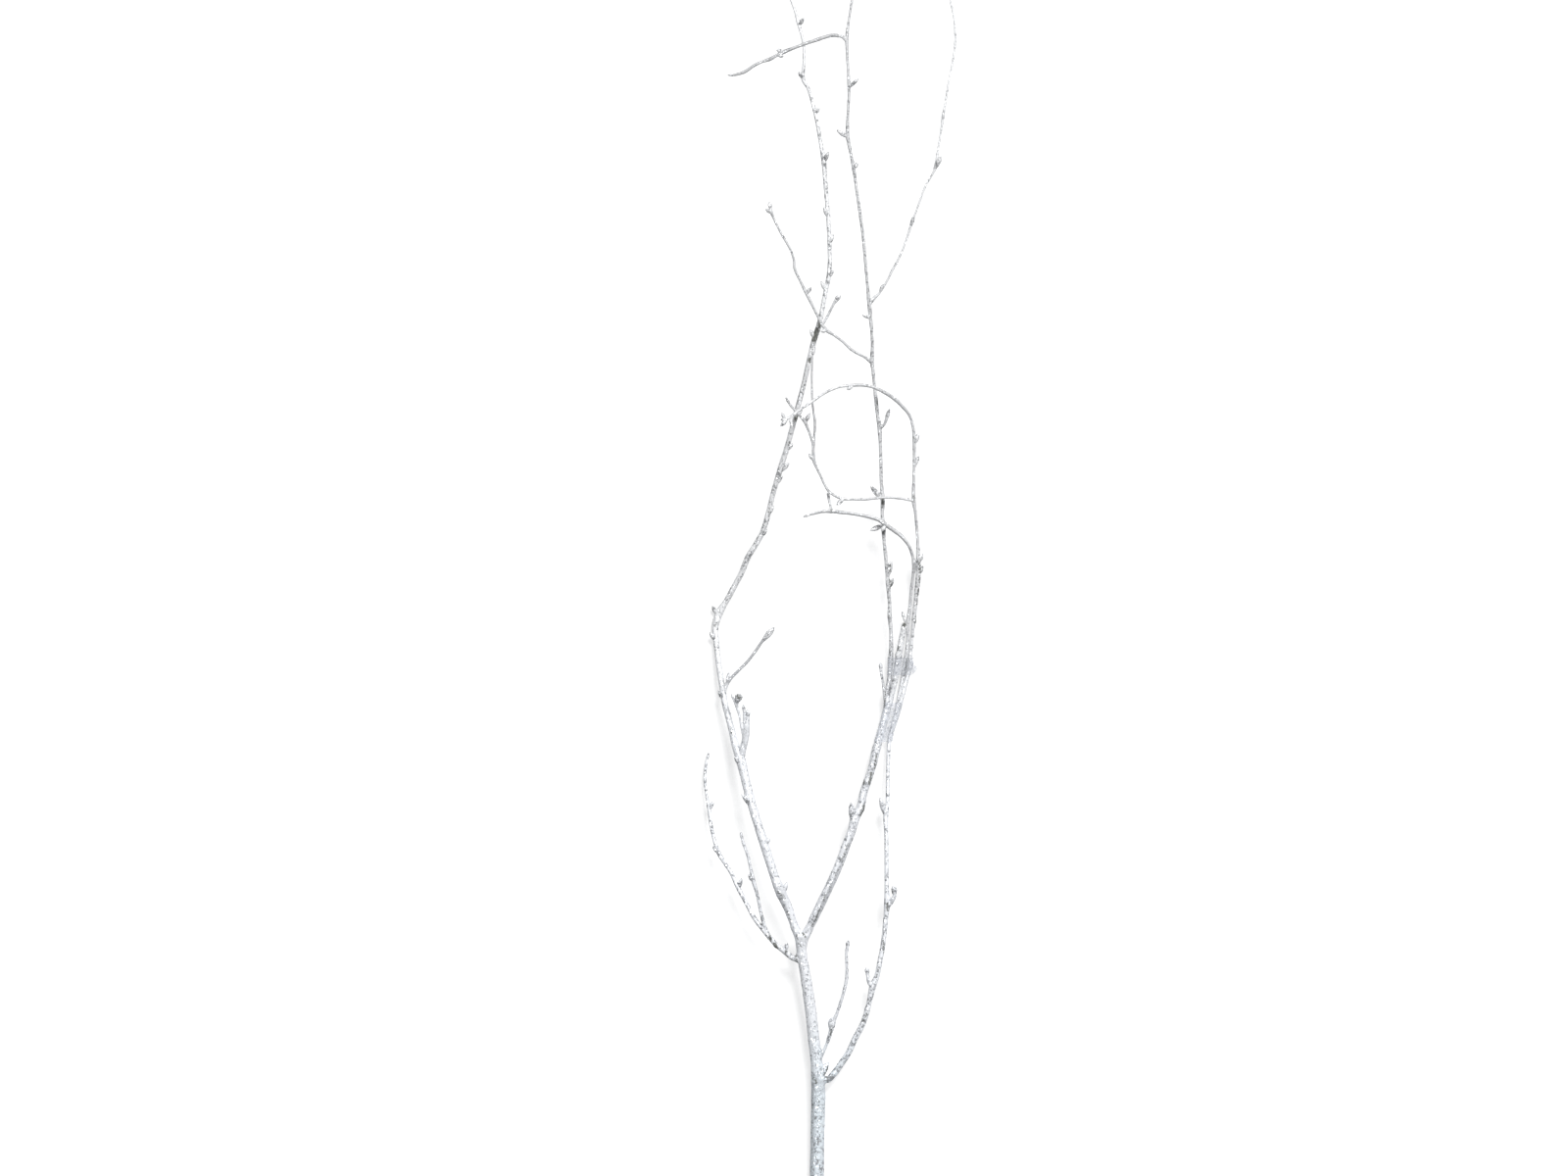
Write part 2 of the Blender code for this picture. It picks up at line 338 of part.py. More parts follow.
def placed(point):
    """A traced point in millimetres about the origin, with its radius in millimetres."""
    across, along, height, thickness = point
    scale = PX / MM
    spot = Vector(((across - CENTRE_ACROSS) * scale, (CENTRE_ALONG - along) * scale, height))
    return spot, thickness * scale / 2


def path(route):
    return [placed(point) for point in route]


def stretch(points, start=0.0, end=None):
    """The part of a path between two distances along it, in millimetres."""
    kept, walked = [], 0.0
    if start <= 0.0:
        kept.append(points[0])
    for (spot, radius), (next_spot, next_radius) in zip(points, points[1:]):
        length = (next_spot - spot).length
        for mark in (start, end):
            if mark is not None and walked < mark < walked + length:
                share = (mark - walked) / length
                kept.append((spot.lerp(next_spot, share), radius + (next_radius - radius) * share))
        walked += length
        if walked > start and (end is None or walked < end):
            kept.append((next_spot, next_radius))
    return kept


def collar(route, length=COLLAR):
    return stretch(path(route), end=length)


def shoot(route, length=COLLAR):
    return stretch(path(route), start=length + GAP)


def bud(points, spec):
    """A pointed bud that starts on the nearest place of the path it belongs to."""
    across, along, tip_across, tip_along, thickness, rise = spec
    wanted, radius = placed((across, along, 0.0, thickness))
    nearest, best = None, None
    for (spot, _), (next_spot, _) in zip(points, points[1:]):
        run = next_spot - spot
        flat = run.x * run.x + run.y * run.y
        share = ((wanted.x - spot.x) * run.x + (wanted.y - spot.y) * run.y) / flat
        found = spot.lerp(next_spot, min(1.0, max(0.0, share)))
        distance = (found.x - wanted.x) ** 2 + (found.y - wanted.y) ** 2
        if best is None or distance < best:
            nearest, best = found, distance
    tip, _ = placed((tip_across, tip_along, nearest.z + rise, thickness))
    return [(nearest.lerp(tip, share), radius * width) for share, width in BUD_PROFILE]


def tube(name, points, sides):
    """A closed mesh tube along a path, made as a bevelled curve with filled caps."""
    curve = bpy.data.curves.new(name + "_curve", "CURVE")
    curve.dimensions = "3D"
    curve.bevel_depth = CURVE_SCALE
    curve.bevel_resolution = sides // 2 - 2
    curve.use_fill_caps = True
    curve.render_resolution_u = 0
    spline = curve.splines.new("POLY")
    spline.points.add(len(points) - 1)
    for knot, (spot, radius) in zip(spline.points, points):
        knot.co = (*(spot * MM), 1.0)
        knot.radius = radius
    drawn = bpy.data.objects.new(name + "_curve", curve)
    bpy.context.scene.collection.objects.link(drawn)
    bpy.context.view_layer.update()
    evaluated = drawn.evaluated_get(bpy.context.evaluated_depsgraph_get())
    mesh = bpy.data.meshes.new_from_object(evaluated)
    mesh.name = name
    shape = bmesh.new()
    shape.from_mesh(mesh)
    bmesh.ops.remove_doubles(shape, verts=shape.verts, dist=WELD)
    bmesh.ops.recalc_face_normals(shape, faces=shape.faces)
    shape.to_mesh(mesh)
    shape.free()
    made = bpy.data.objects.new(name, mesh)
    made.matrix_world = drawn.matrix_world.copy()
    bpy.data.objects.remove(drawn)
    bpy.data.curves.remove(curve)
    return made


def join(body, extra, operation="UNION"):
    """Unite one more solid with a body, or take it away, and drop the spare."""
    for item in (body, extra):
        if item.name not in bpy.context.scene.collection.objects:
            bpy.context.scene.collection.objects.link(item)
    union = body.modifiers.new("union", "BOOLEAN")
    union.operation = operation
    union.solver = "EXACT"
    union.object = extra
    bpy.context.view_layer.update()
    evaluated = body.evaluated_get(bpy.context.evaluated_depsgraph_get())
    mesh = bpy.data.meshes.new_from_object(evaluated)
    body.modifiers.remove(union)
    body.data = mesh
    bpy.data.objects.remove(extra)


def tidy(body):
    """Weld what the unions left apart and shade the round sides smooth."""
    shape = bmesh.new()
    shape.from_mesh(body.data)
    bmesh.ops.remove_doubles(shape, verts=shape.verts, dist=WELD)
    bmesh.ops.dissolve_degenerate(shape, edges=shape.edges, dist=WELD)
    bmesh.ops.recalc_face_normals(shape, faces=shape.faces)
    shape.to_mesh(body.data)
    shape.free()
    body.data.shade_smooth()
    body.data.set_sharp_from_angle(angle=0.9)


def grow(name, main, sides, look, home, branches=(), collars=(), buds=()):
    """One piece of the branch: its main tube, small shoots, collars of later pieces, buds."""
    body = tube(name, main, sides)
    guides = [main] + [path(route) for route in branches]
    extras = [tube(name + "_shoot", points, TWIG_SIDES) for points in guides[1:]]
    extras += [tube(name + "_collar", collar(route, length), count)
               for route, count, length in collars]
    for spec in buds:
        options = [bud(points, spec) for points in guides]
        wanted = placed((spec[0], spec[1], 0.0, 0.0))[0].to_2d()
        near = min(options, key=lambda made: (made[0][0].to_2d() - wanted).length)
        extras.append(tube(name + "_bud", near, BUD_SIDES))
    for extra in extras:
        join(body, extra)
    finish(name, body, look, home)


def finish(name, body, look, home):
    """Tidy a body, name it, give it its material and put it with the others."""
    tidy(body)
    body.name = body.data.name = name
    body.data.materials.clear()
    body.data.materials.append(look)
    if body.name in bpy.context.scene.collection.objects:
        bpy.context.scene.collection.objects.unlink(body)
    home.objects.link(body)


def crossing(route, along):
    """Where a route crosses a line across the branch, with its radius, or nothing."""
    line = (CENTRE_ALONG - along) * PX / MM
    points = path(route)
    for (spot, radius), (next_spot, next_radius) in zip(points, points[1:]):
        if spot.y <= line < next_spot.y:
            share = (line - spot.y) / (next_spot.y - spot.y)
            return spot.lerp(next_spot, share), radius + (next_radius - radius) * share
    return None


def around(spot, radius, sides):
    """Points round a spot, upright across the branch."""
    angles = [2 * math.pi * step / sides for step in range(sides)]
    return [spot + Vector((math.cos(angle), 0.0, math.sin(angle))) * radius for angle in angles]


def sheath(name, strands, rings, out):
    """The convex body round the strands at a band's rings, some distance outside them."""
    spots = []
    for along in rings:
        for spot, radius in filter(None, (crossing(route, along) for route in strands)):
            spots += around(spot, radius + out, FILM_SIDES)
    return hull(name, spots)


def hull(name, spots):
    """The convex body round a cloud of points."""
    shape = bmesh.new()
    for spot in spots:
        shape.verts.new(spot * MM)
    made = bmesh.ops.convex_hull(shape, input=shape.verts)
    spare = {item for item in made["geom_interior"] + made["geom_unused"]
             if isinstance(item, bmesh.types.BMVert)}
    bmesh.ops.delete(shape, geom=list(spare), context="VERTS")
    bmesh.ops.recalc_face_normals(shape, faces=shape.faces)
    mesh = bpy.data.meshes.new(name)
    shape.to_mesh(mesh)
    shape.free()
    return bpy.data.objects.new(name, mesh)


def band(name, strands, rings, look, home, corner=()):
    """A band of film wound round strands that run together, open at both edges."""
    body = sheath(name, strands, rings, FILM_GAP + FILM_WALL)
    if corner:
        spots = [point for across, along, height, thickness in corner
                 for point in around(placed((across, along, height, 0.0))[0], thickness / 2,
                                     CORNER_SIDES)]
        join(body, hull(name + "_corner", spots))
    longer = (rings[0] + FILM_OVER, *rings[1:-1], rings[-1] - FILM_OVER)
    join(body, sheath(name + "_hollow", strands, longer, FILM_GAP), "DIFFERENCE")
    finish(name, body, look, home)


def stem_piece(bark, home):
    grow("main_stem", path(STEM), STEM_SIDES, bark, home, buds=STEM_BUDS,
         collars=((LEFT_LIMB, LIMB_SIDES, FORK_COLLAR), (RIGHT_LIMB, LIMB_SIDES, FORK_COLLAR),
                  (RIGHT_LATERAL, LIMB_SIDES, COLLAR), (LEFT_LATERAL, TWIG_SIDES, COLLAR),
                  (UPRIGHT_TWIG, TWIG_SIDES, FORK_COLLAR)))


def limb_pieces(bark, home):
    grow("left_limb", shoot(LEFT_LIMB, FORK_COLLAR), LIMB_SIDES, bark, home,
         branches=(NODE_SPUR, NODE_SPUR_SIDE, LOW_SPUR, LOW_SPUR_SIDE, BUD_TWIG),
         collars=((UPPER_LIMB, TWIG_SIDES, COLLAR),), buds=LEFT_LIMB_BUDS)
    grow("upper_limb", shoot(UPPER_LIMB), TWIG_SIDES, bark, home,
         branches=(HIGH_SPUR,), buds=UPPER_LIMB_BUDS)
    grow("right_limb", shoot(RIGHT_LIMB, FORK_COLLAR), LIMB_SIDES, bark, home,
         branches=(CUT_STUB, LIMB_SPUR), collars=((TALL_TWIG, TWIG_SIDES, COLLAR),),
         buds=RIGHT_LIMB_BUDS)


def lateral_pieces(bark, home):
    grow("right_lateral", shoot(RIGHT_LATERAL), TWIG_SIDES, bark, home,
         branches=(LATERAL_SPUR, LATERAL_HOOK), buds=RIGHT_LATERAL_BUDS,
         collars=((ARCHING_TWIG, TWIG_SIDES, FORK_COLLAR),
                  (HOOKED_TWIG, TWIG_SIDES, HOOK_COLLAR)))
    grow("left_lateral", shoot(LEFT_LATERAL), TWIG_SIDES, bark, home,
         branches=(LEFT_SHOOT,), buds=LEFT_LATERAL_BUDS)


def twig_pieces(look, home):
    grow("tall_twig", shoot(TALL_TWIG), TWIG_SIDES, look, home, branches=(CUT_HOOK,),
         collars=((CROSSING_TWIG, TWIG_SIDES, COLLAR), (FAR_TWIG, TWIG_SIDES, COLLAR),
                  (TOP_TWIG, TWIG_SIDES, COLLAR)), buds=TALL_TWIG_BUDS)
    grow("crossing_twig", shoot(CROSSING_TWIG), TWIG_SIDES, look, home, buds=CROSSING_TWIG_BUDS)
    grow("far_twig", shoot(FAR_TWIG), TWIG_SIDES, look, home, buds=FAR_TWIG_BUDS)
    grow("top_twig", shoot(TOP_TWIG), TWIG_SIDES, look, home, buds=TOP_TWIG_BUDS)
    grow("arching_twig", shoot(ARCHING_TWIG, FORK_COLLAR), TWIG_SIDES, look, home,
         branches=(ARCH_TIP,), collars=((INNER_TWIG, TWIG_SIDES, COLLAR),),
         buds=ARCHING_TWIG_BUDS)
    grow("inner_twig", shoot(INNER_TWIG), TWIG_SIDES, look, home, branches=(INNER_ARM,),
         buds=INNER_TWIG_BUDS)
    grow("hooked_twig", shoot(HOOKED_TWIG, HOOK_COLLAR), TWIG_SIDES, look, home,
         branches=(HOOKED_SPUR, HOOKED_ARM, HOOKED_SHOOT), buds=HOOKED_TWIG_BUDS)
    grow("upright_twig", shoot(UPRIGHT_TWIG, FORK_COLLAR), TWIG_SIDES, look, home,
         buds=UPRIGHT_TWIG_BUDS)


def main():
    for item in list(bpy.data.objects):
        bpy.data.objects.remove(item, do_unlink=True)
    home = collection("birch_branch")
    bark, twig, film = material(*BARK), material(*TWIG), material(*FILM)
    stem_piece(bark, home)
    limb_pieces(bark, home)
    lateral_pieces(bark, home)
    twig_pieces(twig, home)
    band("upper_band", UPPER_STRANDS, UPPER_BAND, film, home, FILM_CORNER)
    band("lower_band", LOWER_STRANDS, LOWER_BAND, film, home)


main()
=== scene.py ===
"""Birch branch with a silver white glitter coat, lying on a pale floor.

The stem's cut end points to -Y and the twigs reach to +Y. Every route is a row of points
(across, along, height, thickness): across and along are traced pixels, height is millimetres
above the floor, and thickness is traced pixels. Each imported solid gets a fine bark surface
grown along the same routes, with scaled buds, bare patches, cut faces and loose glitter. Two
bands of clear film hold the strands on the right together.
"""
import json
import math

import bmesh
import bpy
import numpy as np
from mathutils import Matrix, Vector, noise

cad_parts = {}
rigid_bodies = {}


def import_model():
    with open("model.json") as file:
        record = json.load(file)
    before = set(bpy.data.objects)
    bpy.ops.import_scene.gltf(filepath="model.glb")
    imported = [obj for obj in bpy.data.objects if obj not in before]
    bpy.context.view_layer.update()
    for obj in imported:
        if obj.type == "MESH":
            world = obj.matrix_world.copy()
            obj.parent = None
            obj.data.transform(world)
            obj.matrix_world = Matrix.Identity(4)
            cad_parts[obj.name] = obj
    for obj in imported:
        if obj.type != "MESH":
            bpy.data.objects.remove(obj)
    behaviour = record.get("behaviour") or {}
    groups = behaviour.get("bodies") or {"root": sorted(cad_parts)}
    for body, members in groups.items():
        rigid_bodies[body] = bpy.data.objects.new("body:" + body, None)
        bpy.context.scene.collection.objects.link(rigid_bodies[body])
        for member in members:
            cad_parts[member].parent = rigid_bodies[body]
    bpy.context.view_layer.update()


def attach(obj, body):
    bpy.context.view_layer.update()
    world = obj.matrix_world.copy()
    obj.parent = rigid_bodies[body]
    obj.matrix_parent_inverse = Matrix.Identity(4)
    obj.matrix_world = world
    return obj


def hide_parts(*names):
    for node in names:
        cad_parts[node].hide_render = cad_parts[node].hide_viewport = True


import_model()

bl_info = {
    "name": "Silver birch branch",
    "version": (1, 0, 0),
    "blender": (4, 5, 0),
    "location": "View3D > Sidebar > Branch",
    "description": "Grows the bark, buds, cut faces and glitter of a coated birch branch",
    "category": "Object",
}

MM = 0.001
PX = 0.75 * MM            # one traced pixel
CENTRE_ACROSS = 848.0     # traced pixel over the origin
CENTRE_ALONG = 623.0
COLLAR = 9.0              # mm of a side shoot that stays on what it grows from
FORK_COLLAR = 24.0        # the same where two shoots of a fork part slowly
HOOK_COLLAR = 34.0        # the same for the hooked twig, which runs along its lateral
LAP = 1.0                 # mm that a shoot reaches into the collar before it
LAP_SHARE = 0.84          # thickness of a tube at its hidden end
SHOOT_FLARE = 0.25        # how much wider a shoot starts than it runs on
COLLAR_FLARE = 0.2        # the same for the collars that stay on their parent
TIP_BUD = 5.2             # mm of a shoot's end that its last bud covers
TIP_SHARE = 0.72          # thickness of the shoot inside that bud
TIP_RADIUS = 0.9          # mm, and the most that its radius may be there
SEAT_DEPTH = 0.8          # mm that the bud's seat lies behind the start of the thin end
TIP_BUD_GIRTH = 2.05      # width of the last bud in radii of the shoot's thickest end
SEAT_GIRTH = 2.3          # and at least this many radii at its seat

STEM = (
    (832.0, 1330, 5.2, 13.7), (832.8, 1285, 5.9, 13.5), (833.3, 1240, 6.9, 13.3),
    (833.6, 1200, 8.1, 13.3), (834.2, 1160, 9.9, 13.2), (835.0, 1116, 12.3, 13.5),
    (833.5, 1087, 14.3, 11.7), (830.4, 1060, 16.0, 11.2), (828.4, 1040, 17.4, 11.2),
    (825.0, 1015, 19.1, 10.9), (821.4, 992, 20.6, 10.3), (818.7, 976, 21.8, 9.8),
    (817.5, 961, 22.8, 9.0),
)
LEFT_LIMB = (
    (818.0, 974, 22.0, 8.4), (815.5, 957, 23.4, 8.9), (811.0, 946, 24.6, 8.6),
    (804.0, 926, 26.4, 8.5), (797.0, 911, 27.7, 9.6), (790.6, 895, 28.5, 8.4),
    (784.5, 876, 28.9, 8.3), (778.0, 856, 28.7, 8.3), (772.0, 837, 27.7, 8.2),
    (766.5, 818, 26.2, 8.2), (762.5, 803, 24.8, 8.2), (759.0, 788, 23.3, 8.5),
    (756.0, 776, 22.0, 8.8), (750.4, 761, 20.2, 6.6), (746.6, 745, 18.0, 5.9),
    (742.8, 730, 16.0, 5.7), (739.7, 718, 14.2, 5.8), (737.4, 703, 12.2, 5.6),
    (735.0, 689, 10.2, 5.4), (732.8, 672, 7.8, 5.4), (730.5, 650, 5.0, 5.6),
    (730.0, 638, 3.6, 6.2), (733.0, 628, 2.6, 6.9), (735.9, 621, 3.2, 6.3),
)
UPPER_LIMB = (
    (734.4, 624, 2.8, 6.5), (743.6, 609, 5.2, 5.5), (751.0, 595, 7.8, 5.3),
    (757.0, 584, 10.0, 5.3), (763.3, 568, 13.0, 5.5), (771.5, 555, 15.6, 5.3),
    (778.6, 542, 18.0, 5.2), (784.0, 524, 21.6, 5.2), (788.8, 504, 25.0, 4.9),
    (796.4, 478, 29.0, 5.2), (804.0, 453, 32.4, 4.9), (811.7, 424, 35.8, 5.4),
    (818.0, 401, 38.0, 4.8), (822.5, 382, 39.4, 4.8), (826.2, 366, 40.4, 5.1),
    (830.5, 348, 41.4, 5.2), (836.0, 331, 42.0, 5.4), (838.8, 317, 42.2, 4.5),
    (842.0, 300, 42.0, 4.4), (845.8, 281, 41.5, 4.5), (846.8, 262, 40.9, 4.3),
    (845.6, 230, 39.6, 4.3), (843.4, 200, 38.2, 4.2), (841.6, 178, 37.1, 4.2),
    (840.6, 163, 36.3, 5.1), (837.8, 148, 35.5, 3.9), (834.6, 129, 34.5, 3.7),
    (830.5, 110, 33.6, 3.7), (825.0, 91, 32.7, 3.4), (819.4, 80, 32.1, 3.9),
    (820.7, 61, 31.1, 3.1), (819.8, 44, 30.2, 3.1), (817.2, 32, 29.6, 3.3),
    (814.2, 22, 29.1, 3.6), (811.0, 10, 28.6, 2.9), (806.0, -4, 28.1, 2.8),
    (801.0, -24, 27.4, 2.7), (797.2, -47, 26.7, 2.5), (794.0, -68, 26.0, 2.6),
    (792.4, -84, 25.4, 1.1),
)
RIGHT_LIMB = (
    (817.6, 974, 22.0, 8.0), (820.8, 957, 23.6, 8.4), (825.3, 948, 24.6, 8.2),
    (831.4, 935, 26.1, 8.1), (841.6, 914, 27.9, 8.0), (850.6, 895, 28.5, 7.9),
    (857.8, 878, 28.2, 7.8), (863.9, 861, 27.2, 7.7), (869.0, 848, 25.9, 7.8),
    (872.5, 835, 24.4, 8.8), (878.0, 824, 22.8, 7.6), (881.0, 810, 20.8, 7.3),
    (885.3, 797, 18.8, 7.1), (890.4, 781, 16.6, 7.0), (893.8, 766, 14.6, 7.8),
    (897.0, 755, 13.0, 6.6), (900.0, 744, 11.6, 6.4), (903.0, 732, 10.2, 6.2),
    (905.4, 721, 9.2, 6.0), (906.0, 714, 9.1, 4.4),
)
LIMB_SPUR = (
    (904.6, 722, 9.8, 3.0), (902.8, 711, 12.6, 3.0), (901.4, 699, 14.6, 2.6),
    (899.6, 689, 15.8, 2.6), (898.6, 681, 16.6, 3.1), (898.2, 675.6, 17.0, 1.2),
)
CUT_STUB = (
    (904.6, 728, 9.6, 4.8), (908.8, 715, 10.0, 4.8), (911.8, 701, 10.8, 5.0),
    (914.4, 687, 12.0, 5.6), (916.8, 673, 13.2, 5.9), (919.0, 659, 14.4, 5.6),
    (921.2, 646, 15.4, 5.2), (923.4, 636, 16.1, 4.8),
)
TALL_TWIG = (
    (904.4, 723, 9.0, 4.4), (905.0, 709, 8.6, 4.2), (906.9, 697, 8.8, 4.0),
    (908.4, 686, 9.4, 4.0), (909.0, 673, 10.4, 4.5), (909.4, 659, 11.8, 3.6),
    (909.2, 643, 13.3, 3.5), (907.9, 630, 14.2, 4.2), (907.7, 615, 15.1, 3.4),
    (906.3, 597, 16.5, 4.0), (905.3, 586, 17.3, 3.4), (903.8, 567, 18.7, 3.3),
    (901.8, 548, 20.2, 3.3), (901.6, 539, 20.9, 4.2), (900.4, 525, 22.0, 3.2),
    (900.8, 511, 23.2, 4.2), (899.4, 492, 25.0, 3.1), (898.9, 472, 27.0, 3.1),
    (898.3, 451, 29.5, 3.2), (897.3, 435, 31.6, 4.0), (895.4, 423, 33.2, 3.1),
    (893.9, 408, 35.4, 3.6), (892.3, 394, 37.5, 3.0), (891.0, 380, 39.8, 3.1),
    (889.8, 368, 41.6, 3.8), (890.2, 352, 44.0, 2.9), (889.3, 336, 46.4, 2.9),
    (888.0, 322, 48.5, 3.6), (886.8, 309, 50.4, 3.7), (885.6, 296, 52.3, 2.9),
    (883.4, 273, 55.7, 2.8), (882.2, 257, 58.0, 2.9), (880.3, 239, 60.2, 2.8),
    (877.9, 221, 62.2, 2.8), (875.2, 202, 64.2, 2.9), (872.8, 185, 65.9, 2.8),
    (870.8, 171, 67.1, 3.4), (868.3, 158, 68.2, 2.8), (864.8, 139, 69.6, 3.5),
    (865.0, 120, 71.0, 2.7), (866.2, 99, 72.4, 2.7), (866.2, 87, 73.1, 3.3),
    (865.6, 74, 73.9, 2.7), (864.5, 57, 74.6, 2.7), (864.2, 38, 75.0, 3.2),
    (866.0, 22, 75.4, 2.5), (868.6, 6, 75.6, 2.4), (870.6, -13, 75.4, 2.4),
    (871.0, -34, 75.0, 2.6), (869.4, -53, 74.5, 1.0),
)
CROSSING_TWIG = (
    (890.0, 371, 41.2, 2.6), (884.5, 366, 42.6, 2.7), (877.8, 362, 44.0, 2.6),
    (868.9, 357, 46.0, 2.6), (860.4, 349, 48.1, 2.5), (851.0, 342, 50.1, 2.6),
    (843.4, 337, 51.8, 3.3), (837.6, 329, 53.2, 2.5), (829.6, 313, 55.6, 2.5),
    (822.6, 299, 57.3, 2.9), (816.6, 287, 58.8, 2.4), (811.2, 275, 60.1, 2.8),
    (810.0, 265, 61.0, 2.3), (806.6, 255, 62.0, 2.3), (801.0, 245, 63.0, 2.3),
    (794.8, 234, 64.0, 2.2), (789.5, 223, 65.0, 2.4), (786.8, 216, 65.6, 3.4),
    (785.0, 206, 66.4, 1.1),
)
FAR_TWIG = (
    (886.2, 312, 50.0, 2.8), (890.4, 306, 51.0, 3.4), (897.5, 299, 52.2, 2.6),
    (904.4, 288, 53.8, 2.5), (911.0, 275, 55.1, 2.7), (916.6, 265, 56.2, 2.4),
    (921.4, 254, 57.1, 2.4), (925.8, 242, 58.0, 2.4), (929.2, 231, 58.6, 3.0),
    (934.0, 218, 59.2, 2.3), (939.4, 203, 59.7, 2.3), (944.8, 189, 60.0, 2.4),
    (951.4, 178, 60.3, 2.5), (954.9, 169, 60.5, 3.6), (957.2, 152, 60.4, 2.3),
    (959.6, 137, 60.2, 2.3), (962.0, 121, 59.9, 2.9), (964.8, 104, 59.4, 2.2),
    (967.6, 86, 58.7, 2.2), (970.6, 71, 58.0, 2.2), (973.0, 57, 57.3, 2.3),
    (974.6, 42, 56.5, 2.3), (973.8, 22, 55.4, 2.2), (971.2, 8, 54.7, 2.2),
    (968.0, -5, 53.9, 2.2), (963.6, -20, 53.0, 2.1), (958.4, -35, 52.0, 2.3),
    (953.6, -49, 51.1, 0.9),
)
TOP_TWIG = (
    (864.6, 43, 74.8, 2.8), (859.4, 38, 75.4, 3.4), (850.0, 36.6, 76.3, 3.0),
    (842.0, 38.4, 77.0, 3.0), (831.4, 42, 78.0, 3.1), (822.5, 45, 78.7, 2.8),
    (806.4, 51, 80.0, 2.7), (799.3, 54, 80.5, 3.3), (793.0, 57, 81.0, 2.6),
    (785.9, 61, 81.5, 3.0), (777.0, 64, 82.0, 2.5), (769.0, 68, 82.5, 2.5),
    (760.0, 74, 83.0, 2.8), (751.0, 77, 83.5, 2.3), (742.5, 77.5, 84.0, 1.0),
)
RIGHT_LATERAL = (
    (834.6, 1108, 12.7, 6.6), (840.4, 1103, 13.2, 6.8), (846.0, 1101, 13.6, 6.4),
    (852.4, 1094, 14.0, 6.2), (858.6, 1085, 14.5, 5.9), (866.0, 1074, 15.2, 5.7),
    (872.4, 1060, 16.0, 5.6), (879.0, 1048, 16.7, 5.4), (884.0, 1035, 17.4, 5.3),
    (887.6, 1020, 18.1, 5.2), (890.8, 1006, 18.7, 6.4), (894.9, 996, 19.1, 5.0),
    (898.0, 981, 19.6, 4.9), (900.8, 966, 19.9, 4.8), (902.9, 949, 20.0, 4.7),
    (904.0, 936, 19.9, 4.7), (905.2, 923, 19.7, 5.8), (904.8, 902, 19.1, 4.3),
    (904.7, 882, 18.3, 4.2), (904.6, 862, 17.2, 4.1), (904.2, 846, 16.1, 4.1),
    (904.0, 832, 15.0, 4.9), (905.6, 820, 13.9, 3.9), (906.0, 800, 12.1, 3.9),
    (906.4, 780, 10.2, 3.8), (906.8, 766, 8.8, 3.8), (908.0, 753, 7.2, 3.9),
    (911.0, 741, 5.9, 4.4), (914.6, 730, 4.9, 4.8), (918.2, 719, 4.2, 4.2),
    (921.6, 708, 3.7, 4.1), (924.4, 697, 3.2, 4.1), (926.6, 687, 2.9, 4.5),
    (928.4, 678, 2.8, 4.6), (929.2, 670, 3.1, 3.6),
)
ARCHING_TWIG = (
    (928.2, 679, 2.9, 3.6), (929.6, 664, 3.5, 3.5), (930.8, 651, 4.8, 3.4),
    (932.2, 636, 6.8, 3.8), (933.8, 620, 9.4, 4.0), (935.2, 606, 11.7, 4.3),
    (936.8, 592, 14.0, 4.8), (937.2, 580, 16.1, 4.8), (937.0, 568, 18.2, 4.2),
    (936.4, 551, 21.0, 3.1), (935.4, 536, 23.3, 3.1), (933.9, 521, 25.8, 3.1),
    (932.3, 510, 27.5, 3.9), (932.6, 488, 31.0, 2.9), (932.9, 468, 34.2, 2.9),
    (932.8, 450, 37.2, 3.4), (931.7, 436, 39.8, 2.8), (928.0, 424, 42.4, 2.8),
    (920.6, 414.5, 45.0, 3.4), (912.0, 406.5, 47.6, 3.7), (902.0, 400.2, 50.0, 3.4),
    (891.6, 395.4, 52.0, 3.2), (881.6, 393.3, 53.9, 3.1), (870.6, 393.2, 55.9, 3.3),
    (857.6, 394.6, 58.0, 2.6), (847.0, 398.4, 59.6, 2.6), (838.6, 403, 61.0, 2.6),
    (830.4, 408.6, 62.2, 2.9), (823.2, 413.7, 63.2, 2.5), (815.8, 418.2, 64.1, 2.5),
    (809.0, 424.0, 64.8, 3.3), (803.0, 427.6, 65.2, 2.4), (796.4, 428.8, 65.6, 1.2),
)
INNER_TWIG = (
    (932.6, 510.5, 27.5, 2.6), (928.0, 510, 28.3, 2.7), (917.0, 508.2, 29.6, 2.5),
    (905.3, 507.6, 30.8, 2.5), (893.0, 508.4, 31.8, 2.4), (880.8, 509.6, 32.6, 2.5),
    (869.4, 509.4, 33.3, 2.4), (860.6, 508.8, 33.9, 3.1), (853.0, 506.4, 34.6, 2.4),
    (845.6, 501.0, 35.4, 2.6), (841.2, 494, 36.3, 2.3), (837.6, 486, 37.4, 2.3),
    (833.2, 477, 38.9, 2.4), (830.4, 469, 40.3, 3.2), (829.6, 455, 43.0, 2.3),
    (827.4, 446, 45.0, 2.3), (824.6, 438, 46.7, 2.4), (821.4, 430.6, 48.3, 3.1),
    (816.4, 424.6, 49.6, 2.3), (811.6, 419.4, 50.6, 2.2), (806.4, 413.4, 51.7, 2.2),
    (801.8, 405.8, 52.8, 0.9),
)
